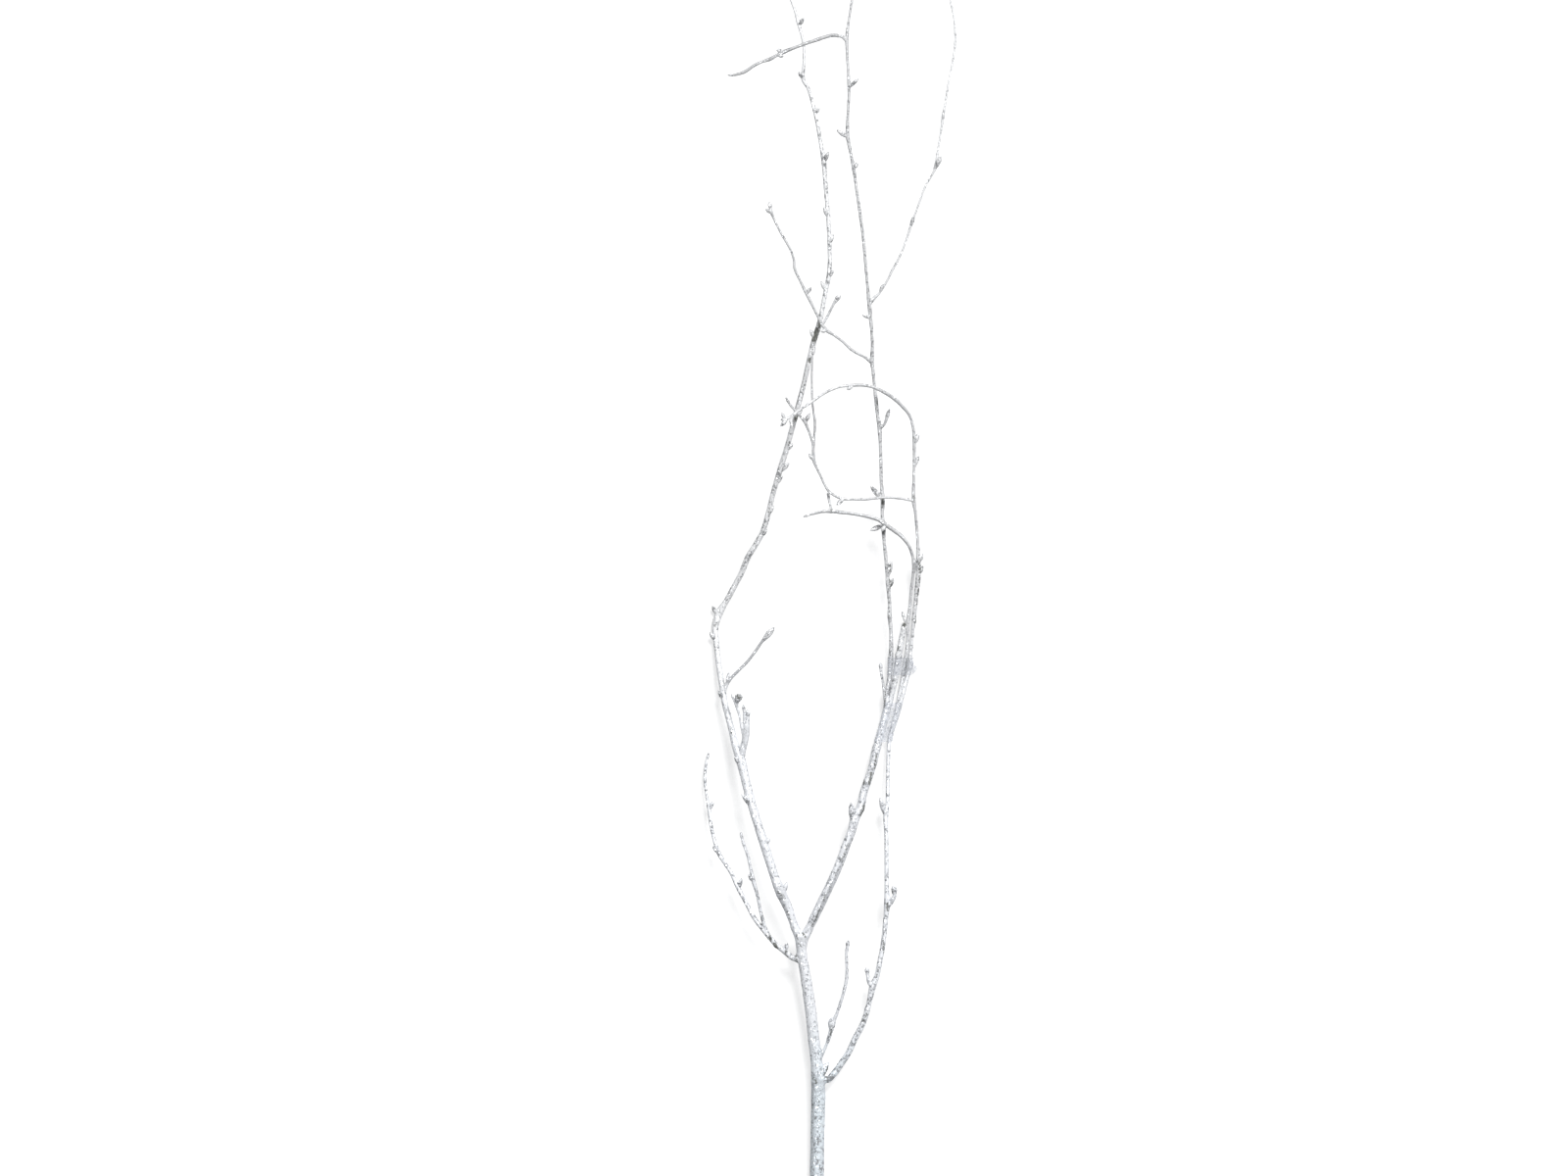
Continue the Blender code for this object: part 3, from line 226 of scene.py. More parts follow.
HOOKED_TWIG = (
    (914.0, 733, 5.2, 4.0), (917.0, 714, 5.2, 3.8), (919.4, 701, 5.5, 3.8),
    (921.8, 687, 5.9, 3.7), (924.4, 672, 6.4, 3.6), (926.0, 660, 7.1, 3.1),
    (926.4, 649, 8.0, 3.0), (926.2, 637, 10.0, 3.7), (928.4, 621, 13.2, 2.8),
    (929.8, 604, 17.0, 2.7),
    (931.8, 587, 20.6, 2.7), (932.8, 576, 22.6, 3.5), (930.6, 565, 24.0, 2.6),
    (927.0, 556, 25.0, 3.0), (920.4, 547.6, 26.2, 3.3), (912.0, 541.2, 27.4, 3.4),
    (904.0, 535.6, 28.4, 3.8), (897.6, 531.0, 29.1, 3.3), (890.0, 528.3, 29.8, 3.1),
    (880.8, 525.9, 30.4, 3.1), (870.6, 524.2, 30.8, 3.0), (860.0, 523.0, 31.0, 3.1),
    (848.6, 521.4, 31.0, 3.8), (839.6, 522, 31.1, 2.6), (830.0, 524.2, 31.3, 2.2),
    (819.6, 527.4, 31.6, 1.1),
)
LEFT_LATERAL = (
    (822.0, 984, 21.2, 4.6), (814.6, 980, 22.2, 5.2), (808.0, 977, 22.7, 5.0),
    (800.6, 970.6, 23.3, 5.5), (792.0, 964, 23.8, 4.6), (785.6, 956.6, 24.0, 4.9),
    (779.0, 949, 24.0, 4.4), (769.2, 936, 23.5, 4.2), (761.3, 921, 22.4, 4.1),
    (753.7, 907, 20.9, 4.4), (746.2, 891, 19.0, 3.9), (740.4, 882, 17.7, 3.8),
    (733.6, 871, 16.2, 4.3), (729.0, 858, 14.4, 3.5), (725.6, 842, 12.2, 3.4),
    (723.6, 826, 10.0, 3.8), (721.0, 811, 8.2, 3.0), (719.4, 796, 6.6, 3.0),
    (720.4, 781, 5.4, 2.8), (722.8, 768, 4.6, 1.2),
)
LEFT_SHOOT = (
    (784.2, 954.6, 24.0, 3.2), (779.6, 943, 25.2, 3.4), (776.4, 931, 26.4, 3.2),
    (772.8, 913, 28.0, 3.1), (768.8, 899, 29.4, 3.8), (766.0, 886, 30.4, 2.9),
    (762.8, 872, 31.3, 2.9), (758.4, 860, 32.0, 2.8), (755.8, 849, 32.4, 1.1),
)

NODE_SPUR = (
    (756.2, 775, 21.8, 5.4), (758.2, 764, 23.4, 6.2), (760.6, 754, 24.8, 6.4),
    (761.6, 744, 26.2, 6.2), (762.6, 736, 27.2, 4.4), (763.2, 730, 27.8, 3.6),
    (763.0, 724, 28.4, 1.2),
)
NODE_SPUR_SIDE = ((760.8, 743, 26.4, 3.2), (759.4, 734, 27.8, 2.6), (759.2, 727, 28.8, 2.6),
                  (758.8, 719, 29.8, 1.1))
LOW_SPUR = (
    (759.4, 753, 25.0, 2.8), (756.6, 742, 26.6, 2.5), (754.6, 731, 28.0, 2.3),
    (752.8, 724, 28.8, 3.0), (750.0, 717.6, 29.5, 2.1), (746.2, 708, 30.4, 1.0),
)
LOW_SPUR_SIDE = ((752.6, 723, 28.8, 1.8), (752.6, 717, 30.2, 2.0), (753.4, 713, 31.0, 6.4),
                 (754.4, 707.6, 31.6, 3.4))
BUD_TWIG = (
    (737.8, 709, 12.9, 3.0), (742.4, 697, 14.4, 3.4), (747.4, 690.4, 15.4, 3.0),
    (754.6, 683.2, 16.8, 2.8), (762.7, 675, 18.2, 2.8), (770.0, 665.6, 19.6, 2.8),
    (776.6, 656, 21.0, 2.8), (779.4, 652.6, 21.4, 3.4), (783.0, 648.8, 22.0, 5.0),
    (786.6, 644.6, 22.6, 4.6), (790.4, 639.8, 23.0, 1.4),
)
HIGH_SPUR = (
    (836.6, 333, 42.0, 3.0), (841.4, 328, 43.2, 2.7), (845.9, 320, 44.4, 2.6),
    (850.0, 311.4, 45.6, 2.7), (853.6, 306, 46.4, 3.9), (857.2, 300.6, 47.2, 1.2),
)
INNER_ARM = (
    (829.8, 461, 41.8, 2.3), (830.8, 447, 44.6, 2.1), (831.6, 431, 47.4, 2.7),
    (830.0, 420, 49.2, 2.0), (828.9, 409, 50.9, 2.2), (828.5, 393, 53.0, 1.9),
    (828.5, 378, 54.8, 1.9), (829.4, 363, 56.2, 1.0),
)
CUT_HOOK = ((897.4, 437, 31.2, 2.6), (902.0, 433.6, 33.0, 2.4), (904.4, 428, 34.6, 2.8),
            (906.2, 423, 35.6, 3.5), (907.8, 417.4, 36.6, 1.1))
LATERAL_SPUR = ((891.4, 1008, 18.6, 3.2), (886.6, 1003, 20.2, 3.0), (885.2, 994, 21.6, 3.4),
                (884.0, 986.6, 22.6, 1.1))
LATERAL_HOOK = ((904.4, 925, 19.4, 3.2), (909.4, 922, 21.0, 3.0), (912.8, 914, 22.6, 4.2),
                (912.2, 902.4, 24.0, 1.2))
HOOKED_SPUR = ((926.0, 639, 9.4, 2.4), (922.6, 631, 10.4, 2.2), (920.4, 624, 11.4, 0.9))
HOOKED_ARM = ((932.6, 579, 22.0, 2.4), (935.6, 573, 24.6, 2.6), (938.4, 569.4, 26.0, 1.0))
HOOKED_SHOOT = ((848.8, 522.6, 30.9, 2.4), (847.2, 515, 30.4, 2.2), (845.4, 507, 29.8, 2.4),
                (844.8, 501, 29.4, 0.9))
ARCH_TIP = ((809.6, 423.4, 64.6, 2.2), (806.8, 430, 65.8, 2.8), (808.6, 437, 66.8, 1.0))

UPRIGHT_TWIG = (
    (832.6, 1090, 15.0, 3.4), (838.6, 1077, 18.2, 3.3), (844.6, 1063, 21.4, 3.1),
    (848.2, 1051, 24.0, 3.4), (850.4, 1043, 25.6, 3.6), (854.0, 1034, 27.2, 2.9),
    (858.4, 1021, 29.4, 2.8), (861.8, 1009, 31.2, 2.8), (864.0, 997, 32.8, 2.9),
    (864.0, 985, 34.2, 2.6), (863.8, 973, 35.4, 2.6), (865.0, 964, 36.2, 3.2),
    (865.4, 959, 36.6, 1.5),
)

# buds: where each one sits, where its tip is, its thickness (traced pixels), its rise (mm)
STEM_BUDS = ((842.4, 1101.6, 844.2, 1085.6, 5.4, 2.0), (839.6, 1100, 838.4, 1093, 2.6, 1.5))
LEFT_LIMB_BUDS = (
    (798.0, 913, 803.0, 901, 3.9, 2.0),
    (778.6, 862, 785.4, 855, 4.0, 2.0), (766.4, 826, 757.8, 811, 3.4, 2.5),
    (757.4, 781, 750.0, 773, 3.8, 2.0),
    (738.6, 714, 733.0, 706, 3.2, 1.5), (741.6, 699, 743.8, 686.6, 3.0, 1.5),
    (731.0, 654, 724.6, 646, 3.2, 2.0), (733.0, 628, 727.0, 619, 3.4, 2.5),
)
UPPER_LIMB_BUDS = (
    (763.0, 569, 769.6, 560, 3.2, 2.0),
    (776.0, 548, 782.2, 541, 3.2, 1.5), (783.8, 525, 789.4, 517, 3.2, 2.0),
    (792.0, 494, 798.0, 486, 3.2, 1.5), (797.4, 482, 804.8, 473, 3.6, 2.0),
    (802.6, 460, 808.2, 453, 3.4, 2.0), (811.6, 426, 818.4, 418, 3.2, 2.0),
    (827.6, 366, 831.6, 354, 3.6, 2.0), (832.0, 346, 827.2, 337, 3.0, 1.5),
    (842.8, 297, 838.2, 288, 2.9, 1.5), (846.0, 284, 850.2, 276, 2.9, 1.5),
    (846.6, 249, 850.2, 240, 3.0, 1.5), (845.0, 222, 840.8, 212, 3.2, 2.0),
    (840.8, 166, 844.8, 156, 3.2, 2.0), (831.4, 116, 836.0, 110.6, 2.9, 1.5),
    (819.6, 81, 815.4, 74, 2.9, 1.5), (815.4, 26, 820.0, 19, 3.2, 2.0),
)
RIGHT_LIMB_BUDS = (
    (871.4, 840, 868.0, 820.6, 5.0, 2.5),
)
TALL_TWIG_BUDS = (
    (906.4, 600, 911.2, 591, 3.8, 2.0),
    (905.6, 589, 909.2, 573, 4.2, 2.5), (901.6, 536, 889.0, 541, 3.6, 3.0),
    (900.8, 510, 888.8, 497, 3.7, 3.0),
    (888.2, 325, 880.4, 321, 2.9, 2.0), (870.8, 173, 875.0, 166, 3.0, 1.5),
    (864.8, 141, 854.4, 134, 3.1, 2.5), (866.4, 90, 875.6, 81, 2.7, 2.5),
)
CROSSING_TWIG_BUDS = (
    (843.4, 337, 838.0, 338.6, 3.0, 2.0), (822.8, 300, 827.6, 294, 2.9, 1.5),
    (787.2, 218, 782.0, 214, 3.0, 1.5),
)
FAR_TWIG_BUDS = (
    (898.0, 298.6, 901.2, 291, 2.9, 1.5), (929.0, 232, 932.6, 221, 2.7, 1.5),
    (954.0, 173, 960.2, 160, 3.8, 2.5), (961.8, 123, 963.0, 114, 2.6, 1.5),
)
TOP_TWIG_BUDS = (
    (799.4, 54, 792.6, 51.4, 3.0, 1.5), (793.4, 57, 799.0, 58.4, 2.7, 1.5),
)
RIGHT_LATERAL_BUDS = (
    (903.8, 833, 898.0, 816, 3.7, 2.5),
)
ARCHING_TWIG_BUDS = (
    (936.8, 586, 941.8, 578, 3.6, 1.5),
    (936.9, 574, 941.8, 566, 3.4, 1.5), (932.8, 453, 937.4, 443, 3.6, 1.5),
    (932.8, 477, 937.0, 466, 3.0, 1.5),
    (870.6, 393.2, 864.6, 397.8, 2.9, 1.5),
    (803.6, 427.4, 797.0, 434.4, 3.2, 1.5), (801.4, 428.0, 797.4, 421.6, 2.6, 1.5),
)
INNER_TWIG_BUDS = (
    (861.0, 508.8, 854.2, 515, 3.2, 1.5), (830.6, 470, 825.4, 464, 3.0, 1.5),
    (821.6, 431, 826.4, 422, 3.1, 1.5),
)
HOOKED_TWIG_BUDS = ((904.4, 535.8, 899.4, 541.4, 2.9, 1.5),)
UPRIGHT_TWIG_BUDS = ((849.0, 1051, 849.2, 1039, 5.6, 1.5),)
LEFT_LATERAL_BUDS = (
    (800.8, 971, 803.4, 963, 3.2, 1.5), (753.8, 907, 756.6, 897, 3.0, 1.5),
    (733.8, 871, 728.0, 864, 3.1, 1.5), (768.8, 900, 764.0, 893, 3.1, 1.5),
    (723.6, 827, 727.6, 818, 2.9, 1.5),
)

# where the coat is broken, by piece, and one strip of painted shade: the two ends and half the width
# of each strip (traced pixels), and how much of the coat is missing
BARE_AND_SHADED_PATCHES = {
    "upper_limb": (
        (837.0, 329, 835.8, 334, 1.3, 1.0), (833.4, 337, 830.8, 347, 2.2, 1.0),
        (826.4, 366, 826.0, 369, 1.4, 0.9), (812.6, 423, 811.8, 428, 1.9, 1.0),
        (820.8, 383, 820.0, 387, 1.0, 0.6), (805.6, 452, 804.0, 459, 1.2, 0.6),
        (797.8, 480, 796.2, 490, 1.0, 0.6), (785.4, 518, 784.2, 524, 1.2, 0.6),
        (838.8, 300, 837.6, 308, 0.8, 0.6), (772.0, 548, 769.0, 556, 1.4, 0.5)),
    "left_limb": (
        (794.6, 911, 799.0, 915, 2.0, 0.7), (793.0, 917, 801.0, 917, 0.8, 0.6),
        (794.0, 926, 801.0, 926, 0.8, 0.6), (732.6, 635, 729.4, 639, 1.2, 0.6),
        (754.2, 711, 756.0, 712, 2.0, 0.8), (757.0, 809, 760.0, 818, 1.4, 0.6),
        (803.4, 930, 806.0, 938, 1.0, 0.7), (745.6, 742, 747.0, 750, 1.2, 0.6),
        (738.0, 690, 739.0, 700, 1.0, 0.6), (752.0, 774, 755.0, 786, 1.0, 0.5),
        (781.6, 856, 783.4, 860, 1.2, 0.4)),
    "right_limb": (
        (821.4, 954, 823.6, 958, 1.3, 0.85), (829.4, 943, 825.6, 949, 1.1, 0.7),
        (836.6, 928, 831.4, 940, 1.1, 0.7), (842.6, 913, 839.4, 922, 1.3, 0.65),
        (848.4, 902, 845.4, 911, 1.2, 0.6), (857.0, 884, 851.6, 896, 1.1, 0.5),
        (866.4, 860, 858.6, 879, 1.6, 0.6), (881.6, 823, 878.6, 832, 1.6, 0.9),
        (889.0, 789, 887.0, 799, 1.7, 0.8), (881.8, 795, 881.6, 801, 0.8, 0.9),
        (894.0, 771, 892.4, 784, 1.2, 0.7), (868.4, 829, 869.4, 835, 1.4, 0.6),
        (899.6, 740, 897.2, 756, 1.1, 0.6), (904.0, 706, 902.4, 722, 1.0, 0.7),
        (923.2, 634, 922.8, 638, 1.8, 1.0), (914.0, 665, 917.4, 660, 1.4, 0.7),
        (909.6, 686, 907.6, 698, 1.0, 0.6)),
    "main_stem": (
        (811.2, 970, 813.0, 984, 1.3, 0.7), (815.6, 963, 818.0, 965, 1.1, 0.7),
        (819.0, 952, 821.6, 956, 1.1, 0.8), (812.4, 953, 814.0, 959, 0.8, 0.7),
        (828.8, 1098, 832.6, 1105, 2.2, 0.6), (843.0, 1090, 844.0, 1100, 1.1, 0.9),
        (840.4, 1096, 843.0, 1099, 0.9, 0.8), (828.6, 1112, 829.0, 1134, 1.6, 0.5),
        (834.6, 1118, 836.0, 1130, 1.2, 0.5), (828.6, 1150, 829.6, 1196, 1.2, 0.4),
        (816.0, 995, 818.6, 1008, 1.0, 0.5), (822.0, 1040, 825.0, 1066, 1.0, 0.5)),
    "tall_twig": (
        (908.0, 592, 909.0, 600, 1.3, 0.9), (908.0, 580, 908.0, 584, 1.1, 0.8),
        (901.2, 537, 901.2, 544, 1.3, 0.9), (900.8, 508, 900.8, 514, 1.2, 0.9),
        (895.0, 408, 895.4, 413, 0.9, 0.8), (888.4, 320, 888.8, 326, 0.8, 0.6),
        (907.0, 628, 908.0, 636, 1.2, 0.5), (866.4, 130, 867.4, 138, 0.9, 0.6)),
    "arching_twig": (
        (938.0, 574, 938.4, 584, 1.3, 0.8), (935.0, 628, 934.0, 640, 0.9, 0.7),
        (938.6, 588, 938.2, 594, 0.9, 0.7), (937.2, 600, 936.8, 607, 0.9, 0.7),
        (936.4, 612, 936.0, 618, 0.8, 0.6), (932.0, 446, 934.4, 450, 1.0, 0.6),
        (932.6, 506, 932.8, 512, 1.0, 0.7)),
    "right_lateral": (
        (905.4, 922, 905.8, 929, 1.2, 0.8), (901.4, 960, 901.6, 972, 1.1, 0.7),
        (884.6, 1034, 880.6, 1042, 1.2, 0.7), (902.2, 836, 903.4, 868, 0.8, 0.5),
        (904.0, 790, 904.0, 812, 0.8, 0.5), (897.0, 986, 893.0, 1004, 1.0, 0.6),
        (862.0, 1080, 854.0, 1090, 1.2, 0.5)),
    "hooked_twig": (
        # painted shade: the first strip is the shade between this twig and the arching twig, laid on
        # in the bare bark's colour
        (925.2, 673, 923.4, 690, 1.3, 0.9), (848.0, 520, 849.4, 522, 1.2, 0.6),
        (901.0, 540, 903.0, 542, 1.0, 0.6)),
    "left_lateral": (
        (790.6, 963, 792.6, 968, 1.7, 1.0), (785.6, 955, 786.6, 960, 1.4, 0.8),
        (801.6, 970, 803.0, 976, 1.3, 0.7), (773.0, 934, 776.6, 944, 0.9, 0.6)),
    "limb_buds": (
        (754.0, 707, 754.0, 714, 3.0, 0.75), (844.6, 1088, 843.0, 1098, 1.0, 0.8),
        (871.0, 828, 871.6, 838, 0.8, 0.45)),
    "twig_buds": (
        (908.2, 577, 908.6, 583, 1.3, 0.8), (909.2, 593, 909.6, 597, 1.3, 0.8),
        (893.0, 540, 897.0, 538, 1.2, 0.35), (895.0, 503, 898.0, 506, 1.2, 0.3),
        (935.0, 447, 936.2, 445, 1.6, 0.5), (939.8, 580, 939.6, 584, 1.2, 0.7),
        (803.0, 428, 799.0, 432, 1.3, 0.45)),
    "lateral_buds": ((909.8, 908, 911.0, 918, 1.6, 0.7),),
    "upright_twig": (
        (849.6, 1046, 847.4, 1056, 1.2, 0.7), (842.0, 1064, 841.0, 1070, 1.0, 0.6)),
}
# swellings, by piece: across, along and half width (traced pixels), height in millimetres
KNOTS = {
    "main_stem": (
        (818.0, 956, 6.0, 0.9), (812.5, 977, 5.0, 1.1), (840.0, 1101, 6.0, 0.9),
        (830.0, 1104, 4.0, 0.4), (838.5, 1072, 4.0, 0.6), (824.0, 955, 4.5, 0.5)),
    "left_limb": (
        (796.5, 914, 5.0, 0.7), (796.5, 926, 3.0, 0.5), (731.0, 634, 5.0, 0.9),
        (754.6, 711, 3.2, 0.8), (759.0, 813, 4.5, 0.6), (743.0, 694, 3.5, 0.6),
        (780.5, 858, 3.0, 0.4), (747.5, 752, 3.0, 0.4)),
    "upper_limb": (
        (812.2, 426, 3.0, 0.5), (832.4, 341, 4.0, 0.4), (803.0, 462, 3.0, 0.4),
        (827.0, 362, 3.4, 0.5)),
    "right_limb": (
        (870.0, 834, 5.0, 0.8), (880.5, 826, 4.0, 0.5), (841.0, 918, 4.0, 0.4),
        (914.0, 668, 4.0, 0.6), (908.5, 674, 3.5, 0.5), (922.4, 642, 3.0, 0.4)),
    "right_lateral": (
        (903.5, 829, 3.6, 0.8), (908.0, 917, 4.0, 0.8), (884.0, 1030, 3.6, 0.5)),
    "left_lateral": (
        (791.5, 965, 3.6, 0.8), (785.0, 957, 3.0, 0.6)),
    "tall_twig": (
        (908.2, 630, 3.0, 0.7), (901.0, 511, 2.6, 0.5), (908.4, 582, 3.0, 0.5),
        (898.0, 430, 2.4, 0.5)),
    "arching_twig": (
        (934.0, 634, 3.0, 0.5), (936.2, 579, 3.0, 0.5)),
    "upright_twig": ((848.6, 1050, 3.6, 0.7),),
}
# places painted grey, by piece: strip and half width as above, how grey; some strips are painted
# shade, as marked below
GREY_AND_SHADED_PLACES = {
    "main_stem": (
        (829.0, 1106, 828.2, 1140, 2.4, 0.45), (828.2, 1140, 829.0, 1210, 2.0, 0.4),
        (832.0, 1100, 838.0, 1112, 4.0, 0.35), (835.0, 1116, 834.0, 1340, 7.0, 0.14),
        (813.0, 966, 812.0, 990, 3.0, 0.35)),
    "left_limb": (
        (797.0, 908, 797.0, 928, 4.0, 0.4), (754.0, 708, 752.0, 716, 4.0, 0.5),
        (744.6, 694, 762.7, 675, 3.2, 0.7), (762.7, 675, 777.0, 655, 3.2, 0.7),
        (777.0, 655, 790.4, 640, 3.6, 0.8)),
    "right_limb": (
        (912.0, 640, 906.0, 700, 3.0, 0.35), (841.0, 915, 826.0, 950, 2.4, 0.2),
        # painted shade: the narrow strips from (824.6, 954) to the 1.1 px one run along the right
        # limb's lower right side, which lies in shade
        (893.0, 770, 888.0, 800, 3.4, 0.25), (824.6, 954, 833.2, 936, 1.3, 0.6),
        (833.2, 936, 852.2, 896, 1.3, 0.6), (852.2, 896, 865.6, 862, 1.3, 0.6),
        (865.6, 862, 872.4, 840, 1.3, 0.5), (887.0, 795, 897.0, 757, 1.1, 0.45),
        (880.0, 824, 886.0, 800, 3.6, 0.3)),
    "hooked_twig": (
        (930.6, 565, 904.0, 535, 3.0, 0.8), (904.0, 535, 860.0, 523, 3.0, 0.8),
        (860.0, 523, 819.6, 527, 3.0, 0.8), (930.0, 600, 932.8, 576, 2.0, 0.45)),
    "arching_twig": (
        (936.4, 551, 932.6, 488, 3.0, 0.25), (932.6, 488, 931.7, 436, 3.0, 0.25),
        (928.0, 424, 902.0, 400, 3.0, 0.6), (902.0, 400, 870.0, 393, 3.0, 0.5),
        (857.0, 394, 809.0, 424, 3.0, 0.25)),
    "upper_limb": (
        # painted shade: the two thin strips are a dark line along the upper limb's left edge
        (824.2, 366, 815.6, 401, 0.45, 0.8), (815.6, 401, 809.8, 424, 0.45, 0.8),
        (834.0, 325, 829.0, 352, 3.4, 0.5), (813.0, 418, 810.0, 432, 3.0, 0.4)),
}
# where the coat is more worn than on the rest of a piece: strip and half width, how worn
WORN_PLACES = {
    "main_stem": ((835.0, 1118, 834.0, 1340, 7.0, 0.62),),
    "right_lateral": (
        (846.0, 1101, 872.4, 1060, 4.0, 0.8), (872.4, 1060, 890.8, 1006, 4.0, 0.8),
        (890.8, 1006, 904.0, 936, 4.0, 0.8), (904.0, 936, 904.7, 885, 4.0, 0.6)),
    "upright_twig": ((837.0, 1081, 847.0, 1056, 3.0, 0.85),),
    "upper_limb": (
        (735.0, 621, 771.5, 555, 4.0, 0.6), (771.5, 555, 804.0, 453, 4.0, 0.6),
        (830.5, 345, 838.8, 317, 4.0, 0.6), (838.8, 317, 846.8, 262, 4.0, 0.6),
        (846.8, 262, 840.6, 163, 4.0, 0.6), (840.6, 163, 819.4, 60, 4.0, 0.6)),
}
FLOOR_CLEARANCE = 0.05 * MM
# how far a side bud reaches and how thick it is, against its traced size
SIDE_BUD_REACH, SIDE_BUD_GIRTH = 1.12, 1.15
# last buds longer or shorter than most (mm)
LAST_BUDS = {BUD_TWIG: 12.4, LOW_SPUR_SIDE: 4.4, LATERAL_HOOK: 8.0, CUT_HOOK: 9.0}
CUT_ENDS = (CUT_STUB,)


def piece(main, skip=COLLAR, shoots=(), collars=(), buds=(), tip=True, flare=SHOOT_FLARE,
          wear=0.5, grey=0.0, full=1.1):
    """What one grown piece is made of, how worn and grey its coat is and how thick it lies."""
    return {"main": main, "skip": skip, "shoots": shoots, "collars": collars, "buds": buds,
            "tip": tip, "flare": flare, "wear": wear, "grey": grey, "full": full}


STEM_PIECES = {
    "main_stem": piece(STEM, skip=0.0, tip=False, flare=0.0, buds=STEM_BUDS, wear=0.3, full=1.07,
                       collars=((LEFT_LIMB, FORK_COLLAR), (RIGHT_LIMB, FORK_COLLAR),
                                (RIGHT_LATERAL, COLLAR), (LEFT_LATERAL, COLLAR),
                                (UPRIGHT_TWIG, FORK_COLLAR))),
    "left_limb": piece(LEFT_LIMB, skip=FORK_COLLAR, tip=False, flare=0.0, buds=LEFT_LIMB_BUDS,
                       wear=0.12, full=1.14, collars=((UPPER_LIMB, COLLAR),),
                       shoots=(NODE_SPUR, NODE_SPUR_SIDE, LOW_SPUR, LOW_SPUR_SIDE, BUD_TWIG)),
    "upper_limb": piece(UPPER_LIMB, flare=0.0, shoots=(HIGH_SPUR,), buds=UPPER_LIMB_BUDS,
                        wear=0.3),
    "right_limb": piece(RIGHT_LIMB, skip=FORK_COLLAR, tip=False, flare=0.0, full=1.13,
                        buds=RIGHT_LIMB_BUDS, shoots=(CUT_STUB, LIMB_SPUR),
                        collars=((TALL_TWIG, COLLAR),)),
}
LATERAL_PIECES = {
    "right_lateral": piece(RIGHT_LATERAL, tip=False, buds=RIGHT_LATERAL_BUDS, wear=0.35,
                           shoots=(LATERAL_SPUR, LATERAL_HOOK),
                           collars=((ARCHING_TWIG, FORK_COLLAR), (HOOKED_TWIG, HOOK_COLLAR))),
    "left_lateral": piece(LEFT_LATERAL, shoots=(LEFT_SHOOT,), buds=LEFT_LATERAL_BUDS, wear=0.7),
}
TWIG_PIECES = {
    "tall_twig": piece(TALL_TWIG, flare=0.0, shoots=(CUT_HOOK,), buds=TALL_TWIG_BUDS, wear=0.6,
                       grey=0.25, full=1.18,
                       collars=((CROSSING_TWIG, COLLAR), (FAR_TWIG, COLLAR), (TOP_TWIG, COLLAR))),
    "crossing_twig": piece(CROSSING_TWIG, buds=CROSSING_TWIG_BUDS, wear=0.35, grey=0.35,
                           full=1.2),
    "far_twig": piece(FAR_TWIG, buds=FAR_TWIG_BUDS, wear=0.3, full=1.05),
    "top_twig": piece(TOP_TWIG, buds=TOP_TWIG_BUDS, wear=0.45, grey=0.8, full=1.32),
    "arching_twig": piece(ARCHING_TWIG, skip=FORK_COLLAR, shoots=(ARCH_TIP,),
                          collars=((INNER_TWIG, COLLAR),), buds=ARCHING_TWIG_BUDS, wear=0.45,
                          full=1.15),
    "inner_twig": piece(INNER_TWIG, shoots=(INNER_ARM,), buds=INNER_TWIG_BUDS, wear=0.3,
                        grey=0.4, full=1.2),
    "hooked_twig": piece(HOOKED_TWIG, skip=HOOK_COLLAR, buds=HOOKED_TWIG_BUDS, wear=0.3,
                         grey=0.2, full=1.25, shoots=(HOOKED_SPUR, HOOKED_ARM, HOOKED_SHOOT)),
    "upright_twig": piece(UPRIGHT_TWIG, skip=FORK_COLLAR, buds=UPRIGHT_TWIG_BUDS, wear=0.4,
                          full=1.28),
}
# the families of pieces, what they are made of and what their buds and glitter are called
FAMILIES = ((STEM_PIECES, "bark", "limb"), (LATERAL_PIECES, "bark", "lateral"),
            (TWIG_PIECES, "twig", "twig"))
LUMP_LENGTH = {"bark": 9 * MM, "twig": 6 * MM}
# the loose corner of the upper band of film: across, along (traced pixels) and height (mm)
FILM_CORNER = ((930.6, 672.6, 3.0), (936.2, 683.2, 3.1), (930.6, 688.8, 2.9))
# bands of clear film: the strands under each one, its two edges and its loose corner
UPPER_STRANDS = (TALL_TWIG, CUT_STUB, HOOKED_TWIG, RIGHT_LATERAL, ARCHING_TWIG)
LOWER_STRANDS = (RIGHT_LIMB, LIMB_SPUR, CUT_STUB, TALL_TWIG, HOOKED_TWIG, RIGHT_LATERAL)
BANDS = {
    "upper_band": (UPPER_STRANDS, (689.0, 671.4), FILM_CORNER),
    "lower_band": (LOWER_STRANDS, (757.0, 717.0), ()),
}
FILM_GAP, FILM_WALL = 0.55, 0.22    # mm between strand and film, and the film's thickness
FILM_ROUND, FILM_ROW = 80, 0.55     # points round a band, and mm between its rows
FILM_FULL = 1.1                     # how much fuller the strands lie than they were traced
FILM_RAGGED, FILM_CREASE = 0.35, 0.16   # mm that its edges wander and its creases stand out
CORNER_STEPS, CORNER_SPOTS = 8, 6   # points along and across the loose corner
CORNER_BLUNT = 0.93                 # how far to its tip the loose corner goes
CORNER_CURL, CORNER_WAVE = 0.35, 0.15   # mm that it curls up and waves
CORNER_EDGE_SHADE = 0.5                   # how dark its painted shade is against the band's own edge line
